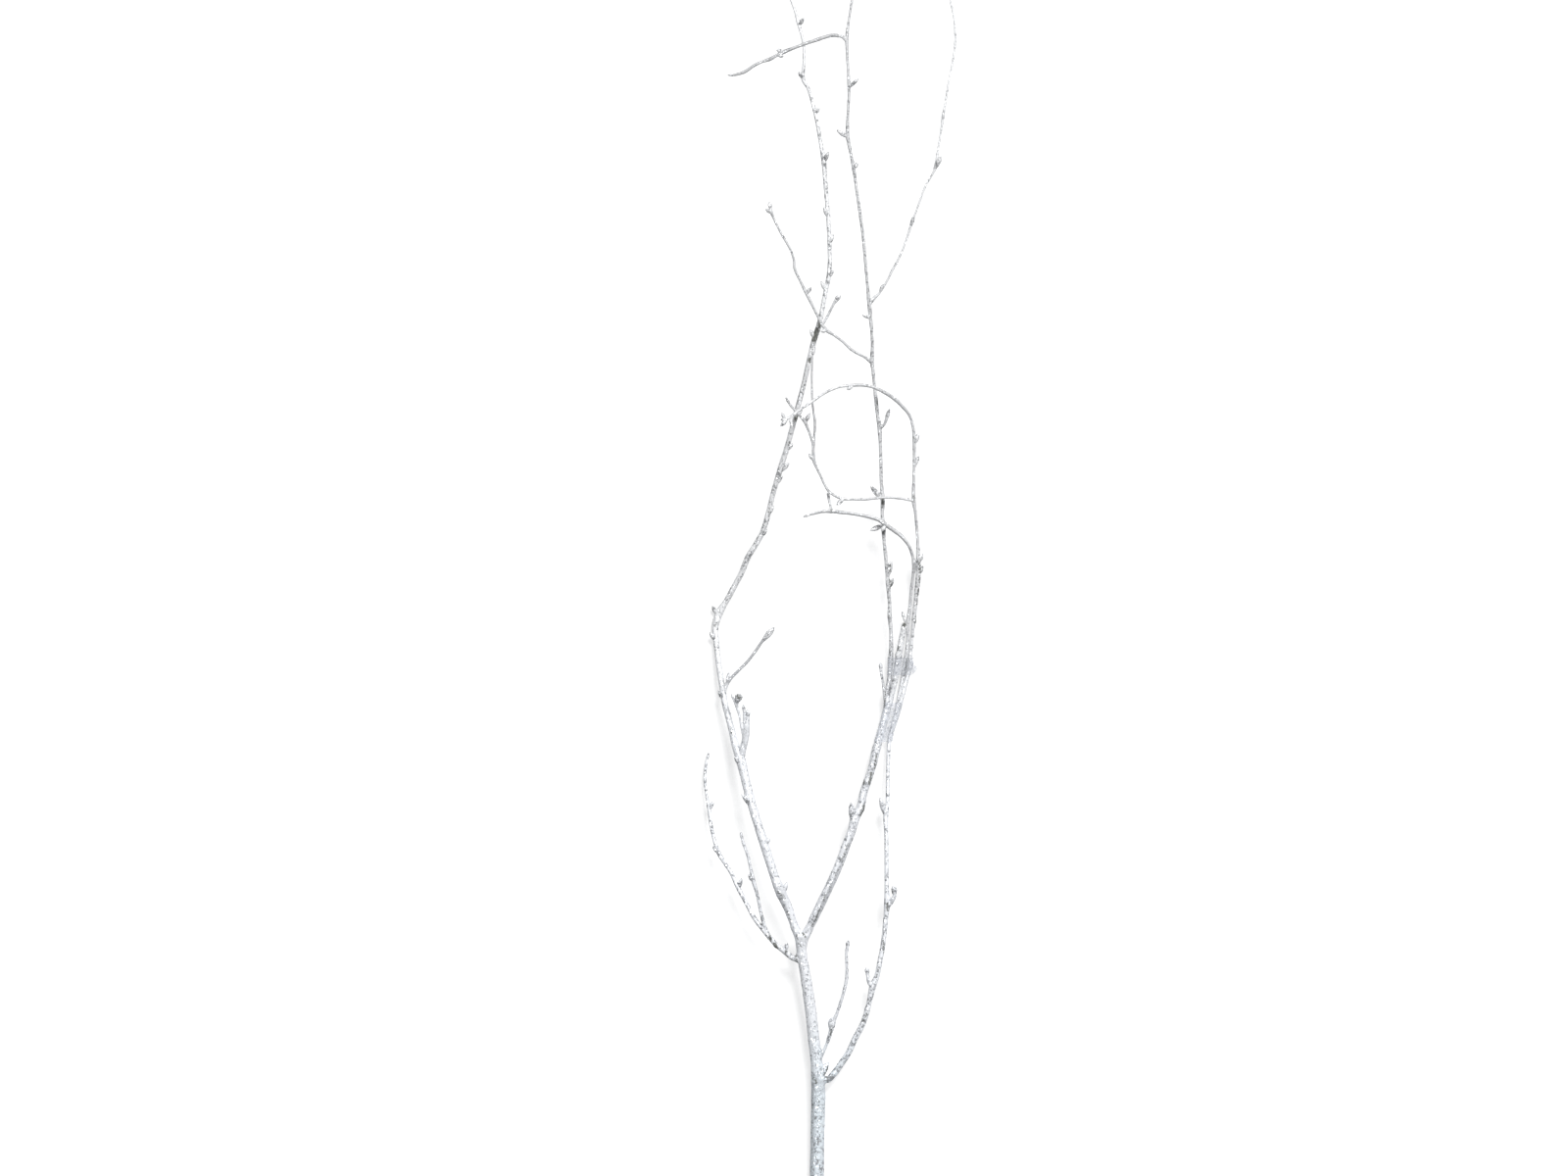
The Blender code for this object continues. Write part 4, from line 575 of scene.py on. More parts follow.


class BranchSettings(bpy.types.PropertyGroup):
    """Sizes and colours of the branch that a user would change."""

    bark_cell: bpy.props.FloatProperty(
        name="Bark cell", description="Size of a face on the stem, limbs and laterals",
        default=0.46 * MM, min=0.2 * MM, unit="LENGTH", precision=5)
    twig_cell: bpy.props.FloatProperty(
        name="Twig cell", description="Size of a face on the thin twigs",
        default=0.36 * MM, min=0.2 * MM, unit="LENGTH", precision=5)
    bark_lumps: bpy.props.FloatProperty(
        name="Limb lumps", description="How far the limbs' thickness goes up and down",
        default=0.07, min=0.0, max=0.4, subtype="FACTOR")
    twig_lumps: bpy.props.FloatProperty(
        name="Twig lumps", description="How far the twigs' thickness goes up and down",
        default=0.16, min=0.0, max=0.4, subtype="FACTOR")
    wrinkle: bpy.props.FloatProperty(
        name="Wrinkles", description="Depth of the long bark wrinkles, as a share of the radius",
        default=0.035, min=0.0, max=0.2, subtype="FACTOR")
    lenticel: bpy.props.FloatProperty(
        name="Lenticels", description="Height of the short cross marks on the thicker shoots",
        default=0.13, min=0.0, max=0.6)
    grain: bpy.props.FloatProperty(
        name="Grain", description="Height of the coat's crumbs, in millimetres",
        default=0.14, min=0.0, max=0.4)
    flake_size: bpy.props.FloatProperty(
        name="Glitter size", description="Longest side of a loose glitter flake",
        default=0.75 * MM, min=0.2 * MM, unit="LENGTH", precision=5)
    flake_density: bpy.props.FloatProperty(
        name="Glitter density", description="Loose glitter flakes on a square metre of bark",
        default=330000.0, min=0.0)
    paint: bpy.props.FloatVectorProperty(
        name="Coat", description="Colour of the silver white coat",
        default=(0.86, 0.875, 0.905), size=3, min=0.0, max=1.0, subtype="COLOR")
    # also the colour of the painted shade in the relief's pits and on the shaded strips
    thin_coat_and_shade_paint: bpy.props.FloatVectorProperty(
        name="Thin coat", description="Colour where the coat is thin",
        default=(0.42, 0.43, 0.455), size=3, min=0.0, max=1.0, subtype="COLOR")
    # also the colour of the painted shade under the buds' scales and in one shaded strip on the hooked
    # twig
    bark: bpy.props.FloatVectorProperty(
        name="Bare bark", description="Colour of the bark where the coat is missing",
        default=(0.055, 0.057, 0.050), size=3, min=0.0, max=1.0, subtype="COLOR")
    wood: bpy.props.FloatVectorProperty(
        name="Cut wood", description="Colour of a cut face",
        default=(0.30, 0.235, 0.15), size=3, min=0.0, max=1.0, subtype="COLOR")
    film: bpy.props.FloatVectorProperty(
        name="Film", description="Colour of the clear film where it is hazy",
        default=(0.56, 0.59, 0.66), size=3, min=0.0, max=1.0, subtype="COLOR")
    floor: bpy.props.FloatVectorProperty(
        name="Floor", description="Colour of the floor",
        default=(0.55, 0.55, 0.55), size=3, min=0.0, max=1.0, subtype="COLOR")
    floor_glow: bpy.props.FloatProperty(
        name="Floor glow", description="Light that the floor itself sends to the camera",
        default=0.62, min=0.0)
    key_light: bpy.props.FloatProperty(
        name="Key light", description="Strength of the soft light from above the twigs",
        default=3.25, min=0.0)
    sky_light: bpy.props.FloatProperty(
        name="Surroundings", description="Brightness of the room around the branch",
        default=0.30, min=0.0)


def settings():
    return bpy.context.scene.branch


# the shoots' lines

def placed(point):
    """A traced point in millimetres about the origin, with its radius in millimetres."""
    across, along, height, thickness = point
    scale = PX / MM
    spot = Vector(((across - CENTRE_ACROSS) * scale, (CENTRE_ALONG - along) * scale, height))
    return spot, thickness * scale / 2


def path(route):
    """The route's points in millimetres, with the radius and the distance from its start."""
    made, reach, last = [], 0.0, None
    for point in route:
        spot, radius = placed(point)
        reach += (spot - last).length if last else 0.0
        made.append((spot, radius, reach))
        last = spot
    return made


def at(points, reach):
    """The point of a path at a distance from its start."""
    for (spot, radius, start), (next_spot, next_radius, end) in zip(points, points[1:]):
        if start <= reach <= end:
            share = (reach - start) / (end - start)
            return spot.lerp(next_spot, share), radius + (next_radius - radius) * share, reach
    return points[-1]


def stretch(points, start=0.0, end=None):
    """The part of a path between two distances from its start."""
    last = points[-1][2]
    end = last if end is None else min(end, last)
    inner = [point for point in points if start < point[2] < end]
    return [at(points, start)] + inner + [at(points, end)]


def scaled(point, share):
    return point[0], point[1] * share, point[2]


def drawn_in(points, bud=TIP_BUD):
    """A shoot with its end made thinner, where the last bud covers it."""
    edge = points[-1][2] - bud
    cut = at(points, max(edge, points[0][2]))
    kept = [point for point in points if point[2] < cut[2]] + [cut]
    slim = min(cut[1], TIP_RADIUS)
    inner = [(spot, min(radius * TIP_SHARE, slim), reach) for spot, radius, reach in points
             if reach > cut[2] + SEAT_DEPTH]
    return kept + inner


def tip_bud(points, bud=TIP_BUD):
    """The bud that ends a shoot: its seat, its tip and its width."""
    total = points[-1][2]
    seat = at(points, max(total - bud - SEAT_DEPTH, points[0][2]))
    width = TIP_BUD_GIRTH * max(point[1] for point in points if point[2] >= seat[2])
    return seat[0], points[-1][0], max(width, SEAT_GIRTH * seat[1])


def side_bud(guides, spec):
    """A bud on the nearest place of the paths that it may sit on: seat, tip and width."""
    across, along, tip_across, tip_along, thickness, rise = spec
    wanted, radius = placed((across, along, 0.0, thickness))
    best = None
    for points in guides:
        for (spot, _, _), (next_spot, _, _) in zip(points, points[1:]):
            run = (next_spot - spot).to_2d()
            share = (wanted.to_2d() - spot.to_2d()).dot(run) / run.length_squared
            found = spot.lerp(next_spot, min(1.0, max(0.0, share)))
            distance = (found.to_2d() - wanted.to_2d()).length
            if best is None or distance < best[0]:
                best = (distance, found)
    tip, _ = placed((tip_across, tip_along, best[1].z + rise, thickness))
    return best[1], best[1].lerp(tip, SIDE_BUD_REACH), 2 * radius * SIDE_BUD_GIRTH


def lines_of(spec):
    """The lines that a piece is grown along: points, flare at the base and ringed bark."""
    main = path(spec["main"])
    start = spec["skip"]
    body = stretch(main, start - LAP) if start else list(main)
    if start:
        body[0] = scaled(body[0], LAP_SHARE)
    lines = [(drawn_in(body) if spec["tip"] else body, spec["flare"], 0.0)]
    for route in spec["shoots"]:
        points = path(route)
        cut = route in CUT_ENDS
        shoot = points if cut else drawn_in(points, LAST_BUDS.get(route, TIP_BUD))
        lines.append((shoot, SHOOT_FLARE, 0.0 if cut else 1.0))
    for route, length in spec["collars"]:
        points = stretch(path(route), 0.0, length + LAP)
        points[-1] = scaled(points[-1], LAP_SHARE)
        lines.append((points, COLLAR_FLARE, 0.0))
    return lines


def buds_of(spec):
    """The seats of all the buds on a piece."""
    main = path(spec["main"])
    shoots = [path(route) for route in spec["shoots"]]
    found = [side_bud([stretch(main, spec["skip"])] + shoots, bud) for bud in spec["buds"]]
    if spec["tip"]:
        found.append(tip_bud(main))
    found += [tip_bud(path(route), LAST_BUDS.get(route, TIP_BUD)) for route in spec["shoots"]
              if route not in CUT_ENDS]
    return found


# node trees

class Net:
    """A node tree while it is being wired."""

    def __init__(self, tree):
        self.tree = tree

    def feed(self, socket, value):
        if isinstance(value, bpy.types.NodeSocket):
            self.tree.links.new(value, socket)
        else:
            socket.default_value = value

    def node(self, kind, inputs=None, **options):
        made = self.tree.nodes.new(kind)
        for name, value in options.items():
            setattr(made, name, value)
        for key, value in (inputs or {}).items():
            self.feed(made.inputs[key], value)
        return made

    def math(self, operation, *values):
        made = self.node("ShaderNodeMath", dict(enumerate(values)), operation=operation)
        return made.outputs[0]

    def times(self, one, other):
        return self.math("MULTIPLY", one, other)

    def vector(self, operation, *values):
        made = self.node("ShaderNodeVectorMath", dict(enumerate(values)), operation=operation)
        single = operation in ("DOT_PRODUCT", "LENGTH")
        return made.outputs["Value" if single else "Vector"]

    def sized(self, vector, scale):
        """A vector times a number."""
        made = self.node("ShaderNodeVectorMath", {0: vector, "Scale": scale}, operation="SCALE")
        return made.outputs["Vector"]

    def parts(self, vector):
        return self.node("ShaderNodeSeparateXYZ", {"Vector": vector}).outputs

    def bump(self, strength, distance, height):
        """A normal from a height, with the relief's size in metres."""
        return self.node("ShaderNodeBump", {"Strength": strength, "Distance": distance,
                                            "Height": height}).outputs[0]

    def ramp(self, value, low, high, to_low=0.0, to_high=1.0):
        made = self.node("ShaderNodeMapRange",
                         {"Value": value, "From Min": low, "From Max": high,
                          "To Min": to_low, "To Max": to_high},
                         interpolation_type="SMOOTHSTEP")
        return made.outputs["Result"]

    def noise(self, place, detail=2.0, roughness=0.5):
        made = self.node("ShaderNodeTexNoise",
                         {"Vector": place, "Scale": 1.0, "Detail": detail,
                          "Roughness": roughness})
        return made.outputs[0]

    def swing(self, place, detail=2.0):
        """Noise about zero, from -1 to 1."""
        return self.math("MULTIPLY_ADD", self.noise(place, detail), 2.0, -1.0)

    def cells(self, place):
        made = self.node("ShaderNodeTexVoronoi", {"Vector": place, "Scale": 1.0})
        return made.outputs["Distance"], made.outputs["Color"]

    def colour(self, share, first, second):
        made = self.node("ShaderNodeMix", {0: share, 6: first, 7: second}, data_type="RGBA")
        return made.outputs[2]


def node_group(name, kind, inputs, outputs):
    """A node group with named sockets: its net, what comes in and what goes out."""
    tree = bpy.data.node_groups.new(name, kind)
    for label, socket, value in inputs:
        made = tree.interface.new_socket(label, in_out="INPUT", socket_type=socket)
        if value is not None:
            made.default_value = value
    for label, socket in outputs:
        tree.interface.new_socket(label, in_out="OUTPUT", socket_type=socket)
    net = Net(tree)
    return net, net.node("NodeGroupInput").outputs, net.node("NodeGroupOutput").inputs


def smooth_line(net, lines, spacing):
    """Guide lines as a smooth curve with evenly spaced points."""
    curve = net.node("GeometryNodeMeshToCurve", {"Mesh": lines}).outputs[0]
    curve = net.node("GeometryNodeCurveSplineType", {"Curve": curve},
                     spline_type="CATMULL_ROM").outputs[0]
    return net.node("GeometryNodeResampleCurve", {"Curve": curve, "Length": spacing},
                    mode="LENGTH").outputs[0]


def named(net, name, kind="FLOAT"):
    return net.node("GeometryNodeInputNamedAttribute", {"Name": name},
                    data_type=kind).outputs["Attribute"]


def surfaced(net, surface, coat, result):
    """End a tree: plain faces under one material, sent out."""
    surface = net.node("GeometryNodeRealizeInstances", {"Geometry": surface}).outputs[0]
    surface = net.node("GeometryNodeSetMaterial",
                       {"Geometry": surface, "Material": coat}).outputs[0]
    net.feed(result, surface)
    return net.tree


def shoot_tree():
    """Tubes along guide lines, uneven in thickness and flared where they leave their parent."""
    net, given, result = node_group(
        "grown_shoots", "GeometryNodeTree",
        (("Guide lines", "NodeSocketGeometry", None), ("Sides", "NodeSocketInt", 18),
         ("Ring spacing", "NodeSocketFloat", 0.8 * MM), ("Unevenness", "NodeSocketFloat", 0.05),
         ("Lump length", "NodeSocketFloat", 11 * MM), ("Flare length", "NodeSocketFloat", 3.2),
         ("Thinnest", "NodeSocketFloat", 0.66)),
        (("Shoots", "NodeSocketGeometry"),))
    line = smooth_line(net, given["Guide lines"], given["Ring spacing"])
    position = net.node("GeometryNodeInputPosition").outputs[0]
    lump = net.sized(position, scale=net.math("DIVIDE", 1.0, given["Lump length"]))
    uneven = net.math("MULTIPLY_ADD", net.swing(lump), given["Unevenness"], 1.0)
    fade = net.math("EXPONENT", net.math(
        "DIVIDE", net.times(named(net, "reach"), -1.0), given["Flare length"]))
    flare = net.math("MULTIPLY_ADD", named(net, "flare"), fade, 1.0)
    size = net.times(named(net, "girth"), net.times(uneven, flare))
    size = net.math("MAXIMUM", size, given["Thinnest"])
    round_line = net.node("GeometryNodeCurvePrimitiveCircle",
                          {"Resolution": given["Sides"], "Radius": 1.0}).outputs[0]
    tube = net.node("GeometryNodeCurveToMesh",
                    {"Curve": line, "Profile Curve": round_line,
                     "Scale": net.times(size, MM), "Fill Caps": True})
    net.feed(result["Shoots"], tube.outputs[0])
    return net.tree


# how close the bark's marks lie: round and round again, then along the shoot (per mm)
WRINKLE_GRID, LENTICEL_GRID = (0.85, 0.85, 0.12), (0.30, 0.30, 0.85)
GRAIN_GRID = 0.9      # crumbs of the coat for a millimetre
RING_STEP = 0.95      # mm between the rings on a spur


def relief_tree():
    """Bark relief on a grown surface: wrinkles, lenticels, spur rings and the coat's crumbs."""
    net, given, result = node_group(
        "bark_relief", "GeometryNodeTree",
        (("Surface", "NodeSocketGeometry", None), ("Guide", "NodeSocketObject", None),
         ("Wrinkle", "NodeSocketFloat", 0.035), ("Lenticel", "NodeSocketFloat", 0.13),
         ("Ring", "NodeSocketFloat", 0.13), ("Grain", "NodeSocketFloat", 0.07),
         ("Material", "NodeSocketMaterial", None)),
        (("Bark", "NodeSocketGeometry"),))
    lines = net.node("GeometryNodeObjectInfo", {"Object": given["Guide"]}).outputs["Geometry"]
    dots = net.node("GeometryNodeCurveToPoints",
                    {"Curve": smooth_line(net, lines, 0.5 * MM)}, mode="EVALUATED")
    nearest = net.node("GeometryNodeSampleNearest", {"Geometry": dots.outputs["Points"]}).outputs[0]
    position = net.node("GeometryNodeInputPosition").outputs[0]

    def picked(value, kind="FLOAT_VECTOR"):
        return net.node("GeometryNodeSampleIndex",
                        {"Geometry": dots.outputs["Points"], "Value": value, "Index": nearest},
                        data_type=kind).outputs[0]

    tangent, normal = picked(dots.outputs["Tangent"]), picked(dots.outputs["Normal"])
    away = net.sized(net.vector("SUBTRACT", position, picked(position)), scale=1 / MM)
    girth = picked(named(net, "girth"), "FLOAT")
    ahead = net.math("ADD", net.vector("DOT_PRODUCT", away, tangent),
                     picked(named(net, "reach"), "FLOAT"))
    bark = net.node("ShaderNodeCombineXYZ", {
        "X": net.vector("DOT_PRODUCT", away, normal),
        "Y": net.vector("DOT_PRODUCT", away, net.vector("CROSS_PRODUCT", tangent, normal)),
        "Z": ahead}).outputs[0]
    place = net.sized(position, scale=1 / MM)
    wrinkle = net.swing(net.vector("MULTIPLY", bark, WRINKLE_GRID), 3.0)
    wrinkle = net.times(net.times(wrinkle, girth), given["Wrinkle"])
    distance, tint = net.cells(net.vector("MULTIPLY", bark, LENTICEL_GRID))
    pick = net.ramp(net.parts(tint)[0], 0.55, 0.6)
    spot = net.times(net.ramp(distance, 0.36, 0.14), pick)
    spot = net.times(spot, net.ramp(girth, 1.0, 2.2))
    lenticel = net.times(spot, given["Lenticel"])
    ring = net.math("SINE", net.times(ahead, 2 * math.pi / RING_STEP))
    ring = net.times(net.times(ring, picked(named(net, "rings"), "FLOAT")), given["Ring"])
    grain = net.times(net.swing(net.sized(place, scale=GRAIN_GRID), 2.0), given["Grain"])
    total = net.math("ADD", net.math("ADD", wrinkle, lenticel), net.math("ADD", ring, grain))
    surface = given["Surface"]
    for name, kind, value in (("bark", "FLOAT_VECTOR", bark), ("relief", "FLOAT", total),
                              ("girth", "FLOAT", girth)):
        surface = net.node("GeometryNodeStoreNamedAttribute",
                           {"Geometry": surface, "Name": name, "Value": value},
                           data_type=kind, domain="POINT").outputs[0]
    outward = net.node("GeometryNodeInputNormal").outputs["Normal"]
    surface = net.node("GeometryNodeSetPosition", {
        "Geometry": surface,
        "Offset": net.sized(outward, scale=net.times(total, MM))}).outputs[0]
    surface = net.node("GeometryNodeSetShadeSmooth", {"Geometry": surface}).outputs[0]
    return surfaced(net, surface, given["Material"], result["Bark"])


def bud_tree():
    """A bud of some kind on every seat, aimed, turned and sized by the seat's own values."""
    net, given, result = node_group(
        "seated_buds", "GeometryNodeTree",
        (("Seats", "NodeSocketGeometry", None), ("Kinds", "NodeSocketCollection", None),
         ("Fullness", "NodeSocketFloat", 1.0), ("Material", "NodeSocketMaterial", None)),
        (("Buds", "NodeSocketGeometry"),))
    kinds = net.node("GeometryNodeCollectionInfo",
                     {"Collection": given["Kinds"], "Separate Children": True,
                      "Reset Children": True}).outputs[0]
    aimed = net.node("FunctionNodeAlignRotationToVector",
                     {"Vector": named(net, "aim", "FLOAT_VECTOR")}, axis="Z").outputs[0]
    turn = net.node("FunctionNodeAxisAngleToRotation",
                    {"Axis": (0.0, 0.0, 1.0), "Angle": named(net, "turn")}).outputs[0]
    turned = net.node("FunctionNodeRotateRotation", {"Rotation": aimed, "Rotate By": turn},
                      rotation_space="LOCAL").outputs[0]
    wide = net.times(named(net, "wide"), given["Fullness"])
    size = net.node("ShaderNodeCombineXYZ",
                    {"X": wide, "Y": wide, "Z": named(net, "long")}).outputs[0]
    buds = net.node("GeometryNodeInstanceOnPoints",
                    {"Points": given["Seats"], "Instance": kinds, "Pick Instance": True,
                     "Instance Index": named(net, "kind", "INT"), "Rotation": turned,
                     "Scale": size}).outputs[0]
    return surfaced(net, buds, given["Material"], result["Buds"])


def flake_tree():
    """Loose glitter flakes over the bark, each one tilted its own way."""
    net, given, result = node_group(
        "loose_glitter", "GeometryNodeTree",
        (("Bark", "NodeSocketGeometry", None), ("Flake", "NodeSocketObject", None),
         ("Density", "NodeSocketFloat", 300000.0), ("Size", "NodeSocketFloat", 0.7 * MM),
         ("Tilt", "NodeSocketFloat", 0.5), ("Seed", "NodeSocketInt", 7),
         ("Least height", "NodeSocketFloat", 0.7 * MM),
         ("Material", "NodeSocketMaterial", None)),
        (("Glitter", "NodeSocketGeometry"),))
    covered = net.ramp(named(net, "bare"), 0.15, 0.6, 1.0, 0.12)
    position = net.node("GeometryNodeInputPosition").outputs[0]
    height = net.parts(position)[2]
    clear = net.math("GREATER_THAN", height, given["Least height"])
    density = net.times(given["Density"], net.times(covered, clear))
    scattered = net.node("GeometryNodeDistributePointsOnFaces",
                         {"Mesh": given["Bark"], "Density": density, "Seed": given["Seed"]},
                         distribute_method="RANDOM")
    lean = net.node("FunctionNodeRandomValue", {0: (-1.0, -1.0, -3.0), 1: (1.0, 1.0, 3.0),
                                                "Seed": given["Seed"]},
                    data_type="FLOAT_VECTOR").outputs[0]
    tilt = net.node("ShaderNodeCombineXYZ", {"X": given["Tilt"], "Y": given["Tilt"],
                                             "Z": 1.0}).outputs[0]
    lean = net.node("FunctionNodeEulerToRotation",
                    {"Euler": net.vector("MULTIPLY", lean, tilt)}).outputs[0]
    turned = net.node("FunctionNodeRotateRotation",
                      {"Rotation": scattered.outputs["Rotation"], "Rotate By": lean},
                      rotation_space="LOCAL").outputs[0]
    share = net.node("FunctionNodeRandomValue", {2: 0.45, 3: 1.0, "Seed": given["Seed"]},
                     data_type="FLOAT").outputs[1]
    size = net.times(share, given["Size"])
    flake = net.node("GeometryNodeObjectInfo", {"Object": given["Flake"]}).outputs["Geometry"]
    flakes = net.node("GeometryNodeInstanceOnPoints",
                      {"Points": scattered.outputs["Points"], "Instance": flake,
                       "Rotation": turned, "Scale": size}).outputs[0]
    return surfaced(net, flakes, given["Material"], result["Glitter"])


# finishes

COLOUR, VALUE, VECTOR = "NodeSocketColor", "NodeSocketFloat", "NodeSocketVector"


def coat_group():
    """Silver white coat: grey flecks in zones where it is worn, streaks, and painted shade in the pits
    of the relief.
    """
    net, given, result = node_group(
        "silver_coat", "ShaderNodeTree",
        (("Place", VECTOR, None), ("Bark", VECTOR, None), ("Relief", VALUE, 0.0),
         ("Wear", VALUE, 0.5), ("Grey", VALUE, 0.0), ("Fleck size", VALUE, 1.6),
         ("Coat", COLOUR, (0.8, 0.82, 0.86, 1.0)), ("Thin coat", COLOUR, (0.4, 0.4, 0.44, 1.0)),
         ("Worn coat", COLOUR, (0.2, 0.2, 0.2, 1.0))),
        (("Color", COLOUR), ("Roughness", VALUE), ("Height", VALUE)))
    zone = net.swing(net.sized(given["Place"], scale=0.16), 1.0)
    fleck = net.swing(net.sized(given["Place"], scale=net.math(
        "DIVIDE", 1.0, given["Fleck size"])), 2.0)
    streak = net.swing(net.vector("MULTIPLY", given["Bark"], (0.9, 0.9, 0.14)), 2.0)
    field = net.math("MULTIPLY_ADD", zone, 0.5, net.math("MULTIPLY_ADD", streak, 0.35, fleck))
    worn = net.math("MULTIPLY_ADD", given["Wear"], 0.42, net.math("SUBTRACT", field, 0.36))
    thin = net.ramp(worn, -0.05, 0.10, 0.0, 0.85)
    deep = net.ramp(worn, 0.12, 0.26, 0.0, 0.9)
    # painted shade: the recesses of the relief are mixed towards the thin coat's colour
    painted_pit_shade = net.ramp(given["Relief"], 0.0, -0.12, 0.0, 0.5)
    # Grey holds a greyer coat and also the painted shade of the shaded strips
    coat = net.colour(given["Grey"], given["Coat"], given["Thin coat"])
    colour = net.colour(net.math("MAXIMUM", thin, painted_pit_shade), coat, given["Thin coat"])
    net.feed(result["Color"], net.colour(deep, colour, given["Worn coat"]))
    net.feed(result["Roughness"], net.math("MULTIPLY_ADD", thin, 0.25, 0.40))
    crumbs = net.noise(net.sized(given["Place"], scale=2.6), 2.0)
    net.feed(result["Height"], net.math("SUBTRACT", crumbs, net.times(thin, 0.8)))
    return net.tree


def glitter_group():
    """Glitter pressed into the coat: small cells that each lean their own way."""
    net, given, result = node_group(
        "pressed_glitter", "ShaderNodeTree",
        (("Place", VECTOR, None), ("Normal", VECTOR, None), ("Cell", VALUE, 0.45),
         ("Share", VALUE, 0.4), ("Lean", VALUE, 0.7), ("Cover", VALUE, 1.0)),
        (("Mask", VALUE), ("Shade", VALUE), ("Normal", VECTOR)))
    distance, tint = net.cells(net.sized(given["Place"], scale=net.math("DIVIDE", 1.0, given["Cell"])))
    parts = net.parts(tint)
    shown = net.math("GREATER_THAN", parts[0], net.math("SUBTRACT", 1.0, given["Share"]))
    shown = net.times(shown, net.ramp(distance, 0.52, 0.42))
    shown = net.times(shown, given["Cover"])
    lean = net.vector("SUBTRACT", tint, (0.5, 0.5, 0.5))
    lean = net.sized(lean, scale=net.times(shown, given["Lean"]))
    net.feed(result["Mask"], shown)
    net.feed(result["Shade"], parts[1])
    net.feed(result["Normal"], net.vector("NORMALIZE", net.vector("ADD", given["Normal"], lean)))
    return net.tree


def bare_group():
    """Where bark shows through the broken coat, and painted shade laid on in the bark's colour; the
    bark's own colour there.
    """
    net, given, result = node_group(
        "bare_bark", "ShaderNodeTree",
        (("Place", VECTOR, None), ("Bare", VALUE, 0.0),
         ("Bark colour", COLOUR, (0.1, 0.08, 0.06, 1.0))),
        (("Mask", VALUE), ("Color", COLOUR)))
    edge = net.swing(net.sized(given["Place"], scale=0.9), 3.0)
    patch = net.math("MULTIPLY_ADD", edge, 0.9, given["Bare"])
    net.feed(result["Mask"], net.ramp(patch, 0.45, 0.85, 0.0, 0.92))
    grain = net.noise(net.vector("MULTIPLY", given["Place"], (1.4, 0.7, 1.4)), 3.0)
    pale = net.sized(given["Bark colour"], scale=3.0)
    net.feed(result["Color"], net.colour(net.ramp(grain, 0.4, 0.62), given["Bark colour"], pale))
    return net.tree


def material(name):
    """A new material: its net and its shader."""
    made = bpy.data.materials.new(name)
    made.use_nodes = True
    return Net(made.node_tree), made.node_tree.nodes["Principled BSDF"]


def use(net, tree, inputs):
    made = net.node("ShaderNodeGroup", node_tree=bpy.data.node_groups[tree])
    for key, value in inputs.items():
        net.feed(made.inputs[key], value)
    return made.outputs


def attribute(net, name, output):
    return net.node("ShaderNodeAttribute", attribute_name=name).outputs[output]


def object_place(net):
    """The place on a piece in millimetres."""
    return net.sized(net.node("ShaderNodeTexCoord").outputs["Object"], scale=1 / MM)


def shaded(colour, share=1.0):
    """A colour for a socket, made darker by a share."""
    return (*[share * part for part in colour], 1.0)


def cooled(colour):
    """A colour moved a little towards blue."""
    return colour[0] * 0.94, colour[1], colour[2] * 1.02


def dulled(colour):
    """A colour moved most of the way to its own grey."""
    return [0.25 * part + 0.25 * sum(colour) for part in colour]


COOL_ZONE = (-300.0, -380.0)    # mm along the branch from which the coat turns bluish
EVEN_ZONE = (-120.0, 20.0)      # the same for the tips, where it turns to an even grey
GLINT = (0.95, 0.97, 1.0)       # a flake of glitter in the coat


def coated(name, coat, thin, worn, metal, cell, fleck):
    """Bark under a coat with glitter in it, cool at the stem and even in colour at the tips."""
    net, shader = material(name)
    place = object_place(net)
    along = net.parts(place)[1]
    low, high = net.ramp(along, *COOL_ZONE), net.ramp(along, *EVEN_ZONE)
    coat, thin = [net.colour(high, net.colour(low, shaded(colour), shaded(cooled(colour))),
                             shaded(dulled(colour))) for colour in (coat, thin)]
    bare = use(net, "bare_bark", {"Place": place, "Bare": attribute(net, "bare", "Fac"),
                                  "Bark colour": shaded(settings().bark)})
    paint = use(net, "silver_coat", {"Place": place, "Bark": attribute(net, "bark", "Vector"),
                                     "Relief": attribute(net, "relief", "Fac"),
                                     "Wear": attribute(net, "wear", "Fac"),
                                     "Grey": attribute(net, "grey", "Fac"), "Fleck size": fleck,
                                     "Coat": coat, "Thin coat": thin,
                                     "Worn coat": shaded(worn)})
    bump = net.bump(0.6, 0.25 * MM, paint["Height"])
    cover = net.math("SUBTRACT", 1.0, bare["Mask"])
    glitter = use(net, "pressed_glitter", {"Place": place, "Normal": bump, "Cell": cell,
                                           "Share": 0.36, "Lean": 0.8, "Cover": cover})
    shine = net.times(glitter["Mask"], net.ramp(glitter["Shade"], 0.0, 1.0, 0.2, 0.8))
    colour = net.colour(shine, paint["Color"], shaded(GLINT))
    net.feed(shader.inputs["Base Color"], net.colour(bare["Mask"], colour, bare["Color"]))
    net.feed(shader.inputs["Metallic"], net.math("MULTIPLY_ADD", glitter["Mask"], 0.8 - metal,
                                                 metal))
    net.feed(shader.inputs["Roughness"], net.math(
        "SUBTRACT", paint["Roughness"], net.times(glitter["Mask"], 0.12)))
    net.feed(shader.inputs["Normal"], glitter["Normal"])
    shader.inputs["Specular IOR Level"].default_value = 0.4


def glitter_flake():
    """Loose glitter: each flake its own tint and gloss."""
    net, shader = material("glitter_flake")
    _, tint = net.cells(object_place(net))
    share = net.parts(tint)[0]
    net.feed(shader.inputs["Base Color"],
             net.colour(share, shaded((0.82, 0.85, 0.90)), shaded((0.97, 0.98, 1.0))))
    net.feed(shader.inputs["Roughness"], net.ramp(share, 0.0, 1.0, 0.22, 0.42))
    shader.inputs["Metallic"].default_value = 0.85


